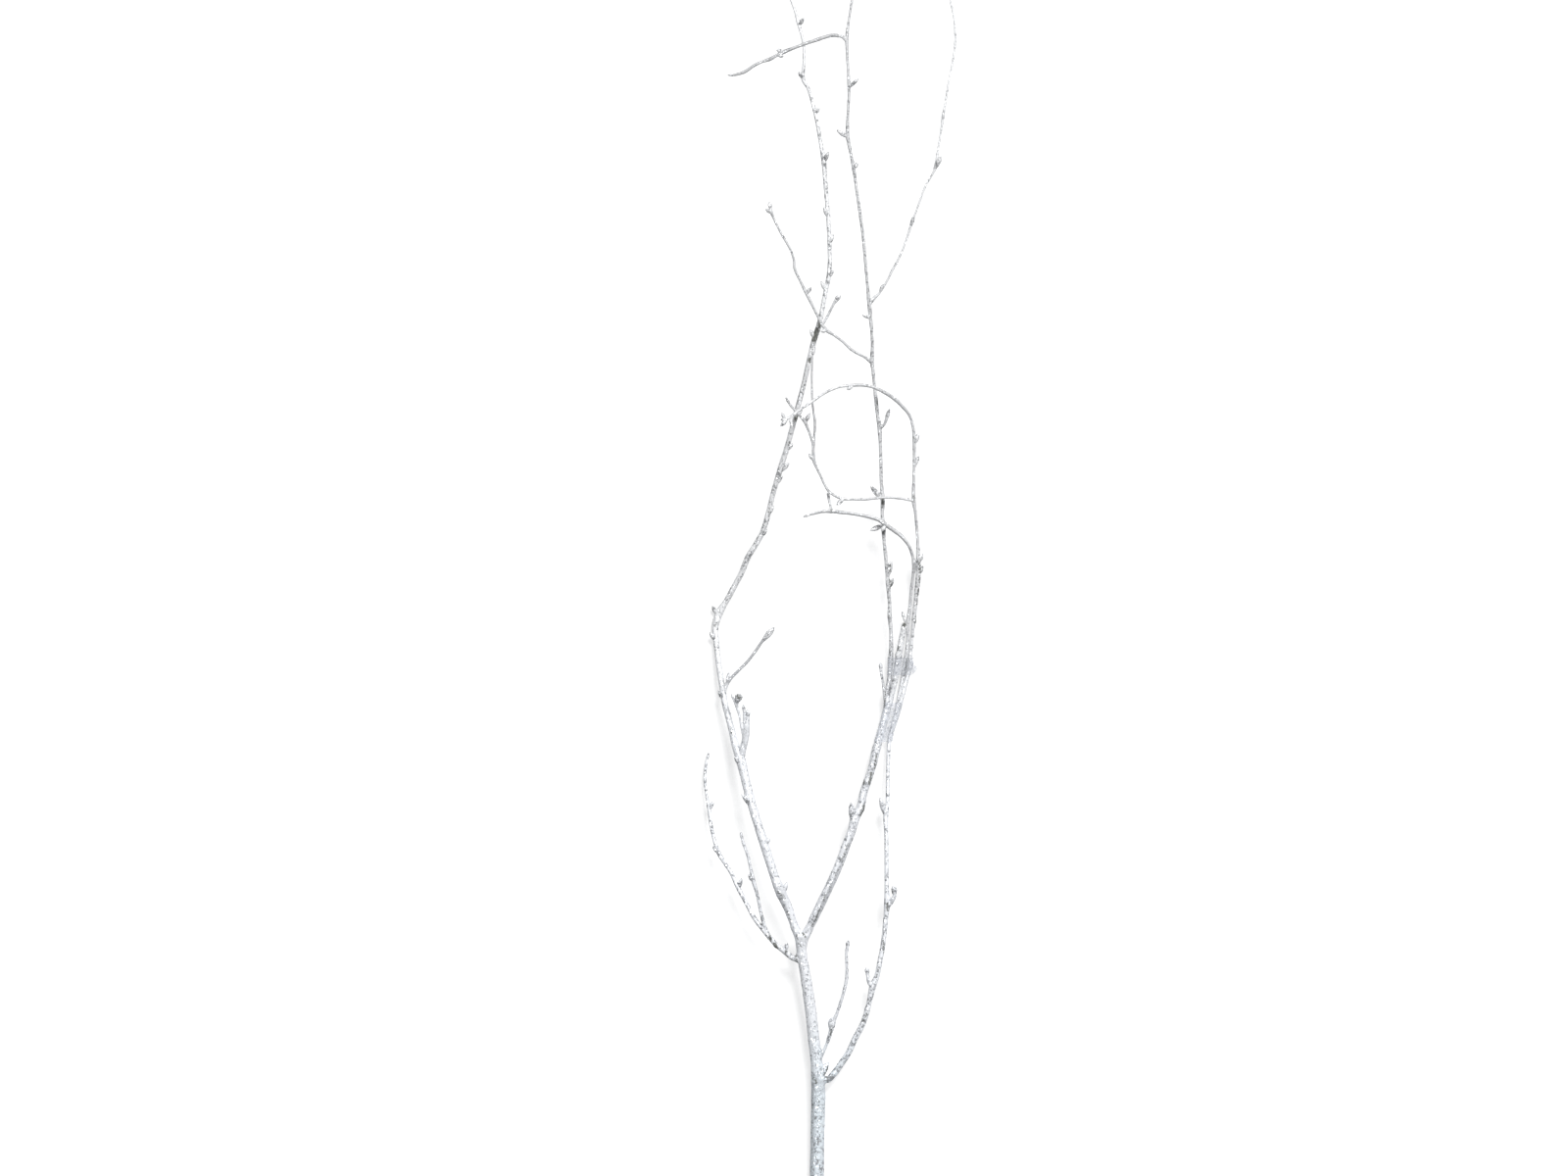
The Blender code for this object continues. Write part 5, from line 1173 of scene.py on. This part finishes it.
def make_finishes():
    """All the materials of the branch, and the groups that they share."""
    for make in (coat_group, glitter_group, bare_group):
        make()
    look = settings()
    coat, thin, bark = tuple(look.paint), tuple(look.thin_coat_and_shade_paint), tuple(look.bark)
    worn = [0.5 * one + 0.5 * other for one, other in zip(thin, bark)]
    coated("silver_bark", coat, thin, worn, metal=0.08, cell=1.25, fleck=2.1)
    coated("silver_twig", [0.97 * part for part in coat], thin, worn,
           metal=0.10, cell=1.1, fleck=1.5)
    coated("silver_bud", [0.95 * part for part in coat], [0.8 * part for part in thin], worn,
           metal=0.08, cell=1.0, fleck=1.4)
    for make in (glitter_flake, cut_wood, clear_film):
        make()


def clear_film():
    """Clear wound film: pale streaks painted along its creases as highlights, with glitter stuck on
    it.
    """
    net, shader = material("clear_film")
    place = object_place(net)
    crease = net.noise(net.vector("MULTIPLY", place, (1.2, 0.2, 1.2)), 3.0)
    # painted highlights: the streaks along the creases are mixed towards a pale colour and made less
    # clear
    streak = net.ramp(crease, 0.46, 0.60)
    normal = net.bump(0.5, 0.2 * MM, crease)
    glitter = use(net, "pressed_glitter", {"Place": place, "Normal": normal, "Cell": 0.9,
                                           "Share": 0.22, "Lean": 0.8, "Cover": 1.0})
    pale = net.math("MAXIMUM", streak, glitter["Mask"])
    colour = net.colour(pale, shaded(settings().film), shaded((0.92, 0.945, 1.0)))
    # painted shade: a dark line along the upper band's top edge and over its loose corner
    edge = net.times(attribute(net, "edge", "Fac"), 0.6)
    net.feed(shader.inputs["Base Color"], net.colour(edge, colour, shaded(settings().film, 0.5)))
    haze = net.math("MAXIMUM", net.math("MULTIPLY_ADD", streak, 0.24, 0.07), edge)
    shown = net.times(glitter["Mask"], 0.9)
    net.feed(shader.inputs["Alpha"], net.math("MAXIMUM", haze, shown))
    net.feed(shader.inputs["Metallic"], net.times(glitter["Mask"], 0.7))
    net.feed(shader.inputs["Normal"], glitter["Normal"])
    shader.inputs["Roughness"].default_value = 0.28


RING_GRAIN = 6.5        # turns of the growth rings' wave for a millimetre (radians)


def cut_wood():
    """End grain: growth rings, a dark pith, a bark edge and specks of the coat."""
    net, shader = material("cut_wood")
    place = attribute(net, "face", "Vector")
    wobble = net.times(net.swing(net.sized(place, scale=0.35)), 0.3)
    out = net.math("ADD", net.vector("LENGTH", place), wobble)
    ring = net.ramp(net.math("SINE", net.times(out, RING_GRAIN)), -0.6, 0.9)
    wood = settings().wood
    dark = shaded(wood, 0.45)
    colour = net.colour(ring, shaded(wood), shaded(wood, 0.72))
    rays = net.noise(net.sized(place, scale=2.2), 3.0)
    colour = net.colour(net.ramp(rays, 0.52, 0.72, 0.0, 0.6), colour, dark)
    rim = attribute(net, "rim", "Fac")
    colour = net.colour(net.ramp(rim, 0.82, 0.92), colour, shaded(settings().bark))
    colour = net.colour(net.ramp(net.vector("LENGTH", place), 0.62, 0.42), colour, dark)
    speck = net.noise(net.sized(place, scale=1.1), 2.0)
    spray = net.math("ADD", speck, net.times(rim, 0.12))
    coat = net.ramp(spray, 0.62, 0.68)
    net.feed(shader.inputs["Base Color"], net.colour(coat, colour, shaded(settings().paint)))
    net.feed(shader.inputs["Roughness"], net.math("MULTIPLY_ADD", coat, -0.3, 0.8))
    net.feed(shader.inputs["Normal"], net.bump(0.5, 0.1 * MM, net.math("ADD", ring, rays)))


# pieces

def link(item):
    bpy.context.scene.collection.objects.link(item)
    return item


def drop(*items):
    """Remove helper objects and their meshes."""
    for item in items:
        data = item.data
        bpy.data.objects.remove(item)
        if data.users == 0:
            bpy.data.meshes.remove(data)


def set_values(mesh, name, kind, values):
    field = "vector" if kind == "FLOAT_VECTOR" else "value"
    mesh.attributes.new(name, kind, "POINT").data.foreach_set(field, np.ravel(values))


def guide(name, lines, full=1.0):
    """Guide lines as a mesh of edges that carry the shoots' values."""
    spots, edges, values = [], [], {"girth": [], "reach": [], "flare": [], "rings": []}
    for points, flare, rings in lines:
        first = len(spots)
        for spot, radius, reach in points:
            spots.append(spot * MM)
            values["girth"].append(radius * full)
            values["reach"].append(reach)
            values["flare"].append(flare)
            values["rings"].append(rings)
        edges += [(n, n + 1) for n in range(first, len(spots) - 1)]
    mesh = bpy.data.meshes.new(name)
    mesh.from_pydata(spots, edges, [])
    for key, row in values.items():
        set_values(mesh, key, "FLOAT", row)
    return link(bpy.data.objects.new(name, mesh))


def nodes_modifier(item, tree, values):
    """Add a node tree to an object and set its named inputs."""
    made = item.modifiers.new(tree, "NODES")
    made.node_group = bpy.data.node_groups[tree]
    for socket in made.node_group.interface.items_tree:
        if socket.name in values and socket.in_out == "INPUT":
            made[socket.identifier] = values[socket.name]


def plain_mesh(item, name):
    """What an object's modifiers make, as a plain mesh."""
    item.update_tag()
    bpy.context.view_layer.update()
    graph = bpy.context.evaluated_depsgraph_get()
    mesh = bpy.data.meshes.new_from_object(item.evaluated_get(graph),
                                           preserve_all_data_layers=True, depsgraph=graph)
    mesh.name = name
    if not mesh.polygons:
        raise RuntimeError(name + " has no faces")
    return mesh


def finished(mesh, name, replaced=()):
    """A mesh as a piece of the branch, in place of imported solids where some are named."""
    made = link(bpy.data.objects.new(name, mesh))
    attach(made, "root")
    if replaced:
        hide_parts(*replaced)


def smooth_mesh(shape, name, coat):
    """A closed shape as a smooth mesh of one material, its faces turned outwards."""
    bmesh.ops.recalc_face_normals(shape, faces=shape.faces)
    mesh = bpy.data.meshes.new(name)
    shape.to_mesh(mesh)
    shape.free()
    mesh.shade_smooth()
    mesh.materials.append(bpy.data.materials[coat])
    return mesh


def rows_of(source, field):
    """A point list's places or normals as rows of three numbers."""
    values = np.empty(len(source) * 3, np.float32)
    source.foreach_get(field, values)
    return values.reshape(-1, 3)


def strip_distance(spots, across, along, next_across, next_along):
    """How far each point is from a strip's middle line, seen from above, in traced pixels."""
    first = np.array(placed((across, along, 0.0, 0.0))[0].to_2d()) * MM
    run = np.array(placed((next_across, next_along, 0.0, 0.0))[0].to_2d()) * MM - first
    away = spots[:, :2] - first
    share = np.clip(away @ run / max(run @ run, 1e-12), 0.0, 1.0)
    return np.linalg.norm(away - share[:, None] * run, axis=1) / PX


# how strong a strip is in its middle, where more than 1 is full, and how it fades sideways
STRIP_CORE, STRIP_FADE = 1.3, 0.6


def mark(mesh, name, field, strips, least=0.0):
    """Keep at each point of a surface, in a field, how strong the strips over it are."""
    spots = rows_of(mesh.vertices, "co")
    marked = np.full(len(spots), least, np.float32)
    if field in mesh.attributes:
        mesh.attributes[field].data.foreach_get("value", marked)
        mesh.attributes.remove(mesh.attributes[field])
    for *ends, half, share in strips.get(name, ()):
        away = strip_distance(spots, *ends) / half
        marked = np.maximum(marked, share * np.clip(STRIP_CORE - STRIP_FADE * away, 0.0, 1.0))
    set_values(mesh, field, "FLOAT", marked)


KNOT_WRINKLE = 0.16     # depth of the wrinkles round a knot, as a share of its height


def raise_knots(mesh, name):
    """Swell a surface at its knots, with a few wrinkles round each of them."""
    spots, normals = rows_of(mesh.vertices, "co"), rows_of(mesh.vertex_normals, "vector")
    lift = np.zeros(len(spots), np.float32)
    for across, along, half, height in KNOTS.get(name, ()):
        away = strip_distance(spots, across, along, across, along) / half
        swell = np.clip(1.0 - away * away, 0.0, 1.0) ** 2
        lift += height * swell * (1.0 + KNOT_WRINKLE * np.sin(9.0 * away))
    spots += normals * lift[:, None] * MM
    spots[:, 2] = np.maximum(spots[:, 2], FLOOR_CLEARANCE)
    mesh.vertices.foreach_set("co", spots.ravel())
    mesh.update()


def grow(name, spec, slot):
    """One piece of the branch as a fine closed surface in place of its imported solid."""
    look = settings()
    lines = guide(name + "_lines", lines_of(spec), spec["full"])
    skin = link(bpy.data.objects.new(name + "_skin", lines.data.copy()))
    nodes_modifier(skin, "grown_shoots", {
        "Unevenness": getattr(look, slot + "_lumps"), "Lump length": LUMP_LENGTH[slot]})
    fused = skin.modifiers.new("fused", "REMESH")
    fused.mode = "VOXEL"
    fused.voxel_size = getattr(look, slot + "_cell")
    soft = skin.modifiers.new("soft", "SMOOTH")
    soft.factor = 0.5
    soft.iterations = 3
    nodes_modifier(skin, "bark_relief", {
        "Guide": lines, "Wrinkle": look.wrinkle, "Lenticel": look.lenticel, "Grain": look.grain,
        "Material": bpy.data.materials["silver_" + slot]})
    mesh = plain_mesh(skin, name + "_bark")
    drop(skin, lines)
    raise_knots(mesh, name)
    # the bare field also takes one strip of painted shade, and the grey field takes strips of painted
    # shade
    mark(mesh, name, "bare", BARE_AND_SHADED_PATCHES)
    mark(mesh, name, "grey", GREY_AND_SHADED_PLACES, spec["grey"])
    mark(mesh, name, "wear", WORN_PLACES, spec["wear"])
    finished(mesh, name + "_bark", (name,))


def grow_all(family, slot):
    """Every piece of a family."""
    for name, spec in family.items():
        grow(name, spec, slot)
    return {"FINISHED"}


BUD_RINGS, BUD_SPOKES = 13, 12
# a bud's width at places from its seat to its tip, as shares of its size
BUD_SHAPE = ((0.0, 0.55), (0.18, 0.74), (0.36, 0.94), (0.54, 1.0), (0.72, 0.82), (0.86, 0.5),
             (0.95, 0.22), (1.0, 0.0))
SCALE_STEP = 0.16       # how far a scale's edge stands out, as a share of the radius
SCALE_GAP_SHADE = 5.0         # how fast the colour turns to bare bark under the scales' edges: painted shade in their recesses
BUD_WEAR = 0.75         # how worn the coat is on the buds
BUD_FULLNESS = 1.3      # how much fuller they are than they were traced
SEAT_SEED = 11          # for how each bud is turned and which kind it is
# each kind of bud: how often its scales wind round it, and how far its tip bends
BUD_KINDS = ((3.0, 0.05), (3.6, -0.08), (2.6, 0.1))


def bud_kind(name, turns, bend, home):
    """A scaly bud of unit size: overlapping scales wind round it to a pointed tip."""
    shape = bmesh.new()
    rings, relief = [], {}
    for station in [n / (BUD_RINGS - 1) for n in range(BUD_RINGS - 1)]:
        wide = np.interp(station, *zip(*BUD_SHAPE))
        ring = []
        for spoke in range(BUD_SPOKES):
            angle = 2 * math.pi * spoke / BUD_SPOKES
            wind = (station * turns + spoke / BUD_SPOKES) % 1.0
            edge = SCALE_STEP * (wind - 0.5) * min(1.0, 4 * station) * (1.0 - station)
            radius = 0.5 * wide * (1.0 + edge)
            lean = bend * station * station
            vert = shape.verts.new((radius * math.cos(angle) + lean, radius * math.sin(angle),
                                    station))
            relief[vert] = edge
            ring.append(vert)
        rings.append(ring)
    tip = shape.verts.new((bend, 0.0, 1.0))
    foot = shape.verts.new((0.0, 0.0, -0.02))
    relief[tip] = relief[foot] = 0.0
    for below, above in zip(rings, rings[1:]):
        for spoke in range(BUD_SPOKES):
            after = (spoke + 1) % BUD_SPOKES
            shape.faces.new((below[spoke], below[after], above[after], above[spoke]))
    for spoke in range(BUD_SPOKES):
        after = (spoke + 1) % BUD_SPOKES
        shape.faces.new((rings[-1][spoke], rings[-1][after], tip))
        shape.faces.new((rings[0][after], rings[0][spoke], foot))
    values = [relief[vert] for vert in shape.verts]
    mesh = smooth_mesh(shape, name, "silver_bud")
    set_values(mesh, "relief", "FLOAT", values)
    # painted shade under the scales' edges, laid on as bare bark
    set_values(mesh, "bare", "FLOAT", [max(0.0, -SCALE_GAP_SHADE * value) for value in values])
    set_values(mesh, "wear", "FLOAT", [BUD_WEAR] * len(values))
    home.objects.link(bpy.data.objects.new(name, mesh))


def seats_object(seats):
    """The buds' seats as loose points that carry each bud's aim and size."""
    mesh = bpy.data.meshes.new("bud_seats")
    mesh.from_pydata([seat * MM for seat, _, _ in seats], [], [])
    dice = np.random.default_rng(SEAT_SEED)
    runs = [tip - seat for seat, tip, _ in seats]
    set_values(mesh, "aim", "FLOAT_VECTOR", [tuple(run.normalized()) for run in runs])
    set_values(mesh, "long", "FLOAT", [run.length * MM for run in runs])
    set_values(mesh, "wide", "FLOAT", [wide * MM for _, _, wide in seats])
    set_values(mesh, "turn", "FLOAT", dice.uniform(0.0, 2 * math.pi, len(seats)))
    set_values(mesh, "kind", "INT", dice.integers(0, len(BUD_KINDS), len(seats)))
    return link(bpy.data.objects.new("bud_seats", mesh))


def flake_object():
    """A thin six-pointed crumb: eight faces, longer than wide."""
    mesh = bpy.data.meshes.new("flake")
    spots = [(0.5, 0.06, 0), (-0.06, 0.42, 0), (-0.5, -0.05, 0), (0.08, -0.4, 0),
             (0.05, 0.0, 0.1), (-0.04, 0.0, -0.1)]
    faces = [(0, 1, 4), (1, 2, 4), (2, 3, 4), (3, 0, 4),
             (1, 0, 5), (2, 1, 5), (3, 2, 5), (0, 3, 5)]
    mesh.from_pydata(spots, [], faces)
    mesh.materials.append(bpy.data.materials["glitter_flake"])
    return link(bpy.data.objects.new("flake", mesh))


CUT_RINGS, CUT_SPOKES = 9, 28
CUT_WIDTH = 0.93        # width of a cut face against the shoot that it ends
CUT_DEPTH = 0.6         # mm that its back reaches into the shoot
CUT_WAVE, CUT_SEED = 0.02, 5    # how uneven its rim is, and the seed of that


def cut_face(name, end, before):
    """A cut end: a slightly uneven disc with a soft rim over the end of a shoot."""
    spot, radius = end[0], end[1] * CUT_WIDTH
    outward = (spot - before[0]).normalized()
    side = outward.orthogonal().normalized()
    up = outward.cross(side)
    shape = bmesh.new()
    rows, places, rims = [], {}, {}
    wave = np.random.default_rng(CUT_SEED).uniform(-1.0, 1.0, CUT_SPOKES)
    for ring in range(CUT_RINGS + 1):
        share = ring / CUT_RINGS
        row = []
        for spoke in range(CUT_SPOKES):
            angle = 2 * math.pi * spoke / CUT_SPOKES
            out = radius * share * (1.0 + CUT_WAVE * wave[spoke])
            local = Vector((out * math.cos(angle), out * math.sin(angle), 0.0))
            # millimetres that the face stands out, its rim falls back and its rings rise
            lift = 0.10 - 0.16 * share ** 6 + 0.02 * math.sin(RING_GRAIN * out)
            vert = shape.verts.new((spot + side * local.x + up * local.y + outward * lift) * MM)
            places[vert], rims[vert] = local, share
            row.append(vert)
            if ring == 0:
                break
        rows.append(row)
    back = shape.verts.new((spot - outward * CUT_DEPTH) * MM)
    places[back], rims[back] = Vector((0.0, 0.0, 0.0)), 1.0
    centre = rows[0][0]
    for spoke in range(CUT_SPOKES):
        after = (spoke + 1) % CUT_SPOKES
        shape.faces.new((centre, rows[1][spoke], rows[1][after]))
        for inner, outer in zip(rows[1:], rows[2:]):
            shape.faces.new((inner[spoke], outer[spoke], outer[after], inner[after]))
        shape.faces.new((rows[-1][after], rows[-1][spoke], back))
    face = [tuple(places[vert]) for vert in shape.verts]
    rim = [rims[vert] for vert in shape.verts]
    mesh = smooth_mesh(shape, name, "cut_wood")
    set_values(mesh, "face", "FLOAT_VECTOR", face)
    set_values(mesh, "rim", "FLOAT", rim)
    finished(mesh, name)


class BRANCH_OT_stem(bpy.types.Operator):
    """Grow the stem and its limbs"""

    bl_idname = "branch.stem"
    bl_label = "Stem and limbs"

    def execute(self, context):
        return grow_all(STEM_PIECES, "bark")


class BRANCH_OT_laterals(bpy.types.Operator):
    """Grow the two laterals"""

    bl_idname = "branch.laterals"
    bl_label = "Laterals"

    def execute(self, context):
        return grow_all(LATERAL_PIECES, "bark")


class BRANCH_OT_twigs(bpy.types.Operator):
    """Grow the thin twigs"""

    bl_idname = "branch.twigs"
    bl_label = "Twigs"

    def execute(self, context):
        return grow_all(TWIG_PIECES, "twig")


class BRANCH_OT_cuts(bpy.types.Operator):
    """Face the cut ends of the stem and the stub"""

    bl_idname = "branch.cuts"
    bl_label = "Cut ends"

    def execute(self, context):
        cut_face("stem_cut", *path(STEM)[:2])
        cut_face("stub_cut", *path(CUT_STUB)[:-3:-1])
        return {"FINISHED"}


def crossing(points, line):
    """Where a path crosses a line across the branch (mm), with its radius, or nothing."""
    for (spot, radius, _), (next_spot, next_radius, _) in zip(points, points[1:]):
        if spot.y <= line < next_spot.y:
            share = (line - spot.y) / (next_spot.y - spot.y)
            return spot.lerp(next_spot, share), radius + (next_radius - radius) * share
    return None


def film_row(found, out):
    """Even points (across and up, mm) tight round some strands, a distance outside them."""
    angles = np.linspace(0.0, 2 * np.pi, 2 * FILM_ROUND, endpoint=False)
    aims = np.stack((np.cos(angles), np.sin(angles)), axis=1)
    middles = np.array([(spot.x, spot.z) for spot, _ in found])
    radii = np.array([radius for _, radius in found]) * FILM_FULL
    outermost = (aims @ middles.T + radii).argmax(axis=1)
    edge = middles[outermost] + aims * (radii[outermost] + out)[:, None]
    loop = np.vstack((edge, edge[:1]))
    walked = np.append(0.0, np.cumsum(np.linalg.norm(np.diff(loop, axis=0), axis=1)))
    even = np.linspace(0.0, walked[-1], FILM_ROUND, endpoint=False)
    return np.stack([np.interp(even, walked, column) for column in loop.T], axis=1)


def creased(across, line, up, middle):
    """A point of the film moved in or out by its creases."""
    away = Vector((across - middle[0], 0.0, up - middle[1])).normalized()
    crease = noise.noise(Vector((across * 0.5, line * 0.35, up * 0.5)))
    ragged = noise.noise(Vector((across * 0.9, 7.0, up * 0.9)))
    return Vector((across, line + FILM_RAGGED * ragged, up)) + away * FILM_CREASE * crease


def tube_faces(rings, size, round_trip):
    """Faces between rows of points, joined on to the first row for a round trip."""
    pairs = [(ring, (ring + 1) % rings) for ring in range(rings if round_trip else rings - 1)]
    return [(low * size + step, low * size + (step + 1) % size,
             high * size + (step + 1) % size, high * size + step)
            for low, high in pairs for step in range(size)]


def film_band(strands, edges):
    """A band of film wound round strands: two close skins that meet at both edges."""
    first, last = [(CENTRE_ALONG - along) * PX / MM for along in edges]
    count = round((last - first) / FILM_ROW)
    lines = [first + (last - first) * step / count for step in range(count + 1)]
    routes = [path(route) for route in strands]
    spots = []
    for out, row in ((FILM_GAP + FILM_WALL, lines), (FILM_GAP, lines[::-1])):
        for line in row:
            found = [strand for strand in (crossing(points, line) for points in routes) if strand]
            ring = film_row(found, out)
            middle = ring.mean(axis=0)
            spots += [creased(across, line, up, middle) for across, up in ring]
    return spots, tube_faces(2 * len(lines), FILM_ROUND, True)


def film_corner(corner, first):
    """A loose corner of film that sticks out: a thin curled triangle with a blunt tip."""
    low, tip, high = [placed((*spot, 0.0))[0] for spot in corner]
    half, round_it, spots = FILM_WALL / 2, 2 * CORNER_SPOTS, []
    for step in range(CORNER_STEPS):
        share = CORNER_BLUNT * step / (CORNER_STEPS - 1)
        ends = low.lerp(tip, share), high.lerp(tip, share)
        curl = CORNER_CURL * math.sin(3.0 * share)
        top, under = [], []
        for part in range(CORNER_SPOTS):
            spot = ends[0].lerp(ends[1], part / (CORNER_SPOTS - 1))
            lift = curl + CORNER_WAVE * math.sin(1.6 * part + 4.0 * share)
            top.append(spot + Vector((0.0, 0.0, lift + half)))
            under.append(spot + Vector((0.0, 0.0, lift - half)))
        spots += top + under[::-1]
    faces = tube_faces(CORNER_STEPS, round_it, False)
    faces += [tuple(range(round_it)),
              tuple(range((CORNER_STEPS - 1) * round_it, CORNER_STEPS * round_it))]
    return spots, [tuple(first + spot for spot in face) for face in faces]


def film_edge_shade(count):
    """Where on a band the painted dark line of shade along its upper edge lies, at each of its points.
    """
    rows = count // (2 * FILM_ROUND)
    return [float(spot // FILM_ROUND in (rows - 1, rows)) for spot in range(count)]


class BRANCH_OT_film(bpy.types.Operator):
    """Wind the two bands of clear film round the strands"""

    bl_idname = "branch.film"
    bl_label = "Film bands"

    def execute(self, context):
        for name, (strands, edges, corner) in BANDS.items():
            spots, faces = film_band(strands, edges)
            edge = [0.0] * len(spots)
            if corner:
                edge = film_edge_shade(len(spots))
                more, sides = film_corner(corner, len(spots))
                spots += more
                faces += sides
                edge += [CORNER_EDGE_SHADE] * len(more)
            mesh = bpy.data.meshes.new("film_net")
            mesh.from_pydata([spot * MM for spot in spots], [], faces)
            shape = bmesh.new()
            shape.from_mesh(mesh)
            bpy.data.meshes.remove(mesh)
            mesh = smooth_mesh(shape, name + "_film", "clear_film")
            mesh.set_sharp_from_angle(angle=1.0)
            # the edge field: where the painted shade of the band's edge and corner lies
            set_values(mesh, "edge", "FLOAT", edge)
            finished(mesh, name + "_film", (name,))
        return {"FINISHED"}


class BRANCH_OT_buds(bpy.types.Operator):
    """Seat the scaly buds on the shoots"""

    bl_idname = "branch.buds"
    bl_label = "Buds"

    def execute(self, context):
        kinds = bpy.data.collections.new("bud_kinds")
        context.scene.collection.children.link(kinds)
        for number, (turns, bend) in enumerate(BUD_KINDS):
            bud_kind(f"bud_kind_{number}", turns, bend, kinds)
        for family, slot, kin in FAMILIES:
            holder = seats_object([seat for spec in family.values() for seat in buds_of(spec)])
            nodes_modifier(holder, "seated_buds", {
                "Kinds": kinds, "Fullness": BUD_FULLNESS,
                "Material": bpy.data.materials["silver_bud"]})
            mesh = plain_mesh(holder, kin + "_buds")
            drop(holder)
            mark(mesh, kin + "_buds", "bare", BARE_AND_SHADED_PATCHES)
            finished(mesh, kin + "_buds")
        drop(*kinds.objects)
        bpy.data.collections.remove(kinds)
        return {"FINISHED"}


FLAKE_TILT, FLAKE_SEED = 0.5, 7


class BRANCH_OT_glitter(bpy.types.Operator):
    """Scatter loose glitter over the bark"""

    bl_idname = "branch.glitter"
    bl_label = "Loose glitter"

    def execute(self, context):
        look = settings()
        flake = flake_object()
        for seed, (family, slot, kin) in enumerate(FAMILIES):
            shape = bmesh.new()
            for name in family:
                shape.from_mesh(bpy.data.objects[name + "_bark"].data)
            mesh = bpy.data.meshes.new("coated_bark")
            shape.to_mesh(mesh)
            shape.free()
            holder = link(bpy.data.objects.new("coated_bark", mesh))
            nodes_modifier(holder, "loose_glitter", {
                "Flake": flake, "Density": look.flake_density, "Size": look.flake_size,
                "Tilt": FLAKE_TILT, "Seed": FLAKE_SEED + seed,
                "Material": bpy.data.materials["glitter_flake"]})
            made = plain_mesh(holder, kin + "_glitter")
            drop(holder)
            finished(made, kin + "_glitter")
        drop(flake)
        return {"FINISHED"}


FLOOR_HALF, FLOOR_TOP = 150.0, -0.1 * MM    # half the floor's width, and its height
KEY_FROM, KEY_WIDTH = (0.30, 0.66, 1.0), 24     # where the soft light is, and its width (degrees)
SKY = (0.96, 0.98, 1.0)
PHOTO = (1600, 1200)        # the picture's width and height (traced pixels)
LOOK_HEIGHT = 25.0          # mm above the floor that the camera looks at
LENS, SENSOR, SIGHT = 1200.0, 36.0, 1000.0      # mm, mm, and m that the camera sees


class BRANCH_OT_stage(bpy.types.Operator):
    """Set the floor, the soft light and the camera"""

    bl_idname = "branch.stage"
    bl_label = "Stage"

    def execute(self, context):
        look = settings()
        mesh = bpy.data.meshes.new("floor")
        corners = ((-1, -1), (1, -1), (1, 1), (-1, 1))
        mesh.from_pydata([(side * FLOOR_HALF, end * FLOOR_HALF, FLOOR_TOP)
                          for side, end in corners], [], [(0, 1, 2, 3)])
        net, shader = material("pale_floor")
        shade = net.noise(net.node("ShaderNodeTexCoord").outputs["Object"], 3.0)
        net.feed(shader.inputs["Base Color"], net.colour(
            net.ramp(shade, 0.3, 0.7), shaded(look.floor), shaded(look.floor, 0.985)))
        shader.inputs["Roughness"].default_value = 0.9
        shader.inputs["Specular IOR Level"].default_value = 0.1
        shader.inputs["Emission Color"].default_value = (1.0, 1.0, 1.0, 1.0)
        seen = net.node("ShaderNodeLightPath").outputs["Is Camera Ray"]
        net.feed(shader.inputs["Emission Strength"], net.times(seen, look.floor_glow))
        mesh.materials.append(bpy.data.materials["pale_floor"])
        link(bpy.data.objects.new("floor", mesh))
        self.light("key_light", KEY_FROM, look.key_light, KEY_WIDTH)
        world = bpy.data.worlds.new("surroundings")
        world.use_nodes = True
        room = Net(world.node_tree)
        back = world.node_tree.nodes["Background"]
        back.inputs["Color"].default_value = shaded(SKY)
        seen = room.node("ShaderNodeLightPath").outputs["Is Camera Ray"]
        room.feed(back.inputs["Strength"], room.math("MAXIMUM", seen, look.sky_light))
        context.scene.world = world
        context.scene.view_settings.view_transform = "Standard"
        self.camera(context)
        return {"FINISHED"}

    def light(self, name, towards, strength, width):
        lamp = bpy.data.lights.new(name, "SUN")
        lamp.energy = strength
        lamp.angle = math.radians(width)
        made = link(bpy.data.objects.new(name, lamp))
        made.location = towards
        made.rotation_euler = Vector(towards).to_track_quat("Z", "Y").to_euler()

    def camera(self, context):
        lens = bpy.data.cameras.new("camera")
        lens.lens = LENS
        lens.sensor_width = SENSOR
        lens.clip_end = SIGHT
        made = link(bpy.data.objects.new("camera", lens))
        middle = placed((PHOTO[0] / 2, PHOTO[1] / 2, LOOK_HEIGHT, 0.0))[0] * MM
        made.location = middle + Vector((0, 0, PHOTO[0] * PX * LENS / SENSOR))
        context.scene.camera = made


class BRANCH_PT_panel(bpy.types.Panel):
    """Lists the steps that make the branch"""

    bl_idname = "BRANCH_PT_panel"
    bl_label = "Birch branch"
    bl_space_type = "VIEW_3D"
    bl_region_type = "UI"
    bl_category = "Branch"

    def draw(self, context):
        for step in STEPS:
            self.layout.operator(step.bl_idname)
        for name in BranchSettings.__annotations__:
            self.layout.prop(context.scene.branch, name)


STEPS = (BRANCH_OT_stem, BRANCH_OT_laterals, BRANCH_OT_twigs, BRANCH_OT_film, BRANCH_OT_cuts,
         BRANCH_OT_buds, BRANCH_OT_glitter, BRANCH_OT_stage)
CLASSES = (BranchSettings, *STEPS, BRANCH_PT_panel)


def register():
    for item in CLASSES:
        bpy.utils.register_class(item)
    bpy.types.Scene.branch = bpy.props.PointerProperty(type=BranchSettings)


def unregister():
    del bpy.types.Scene.branch
    for item in reversed(CLASSES):
        bpy.utils.unregister_class(item)


def main():
    register()
    for make in (shoot_tree, relief_tree, bud_tree, flake_tree, make_finishes):
        make()
    for step in STEPS:
        group, name = step.bl_idname.split(".")
        getattr(getattr(bpy.ops, group), name)()
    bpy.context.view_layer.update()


if __name__ == "__main__":
    main()
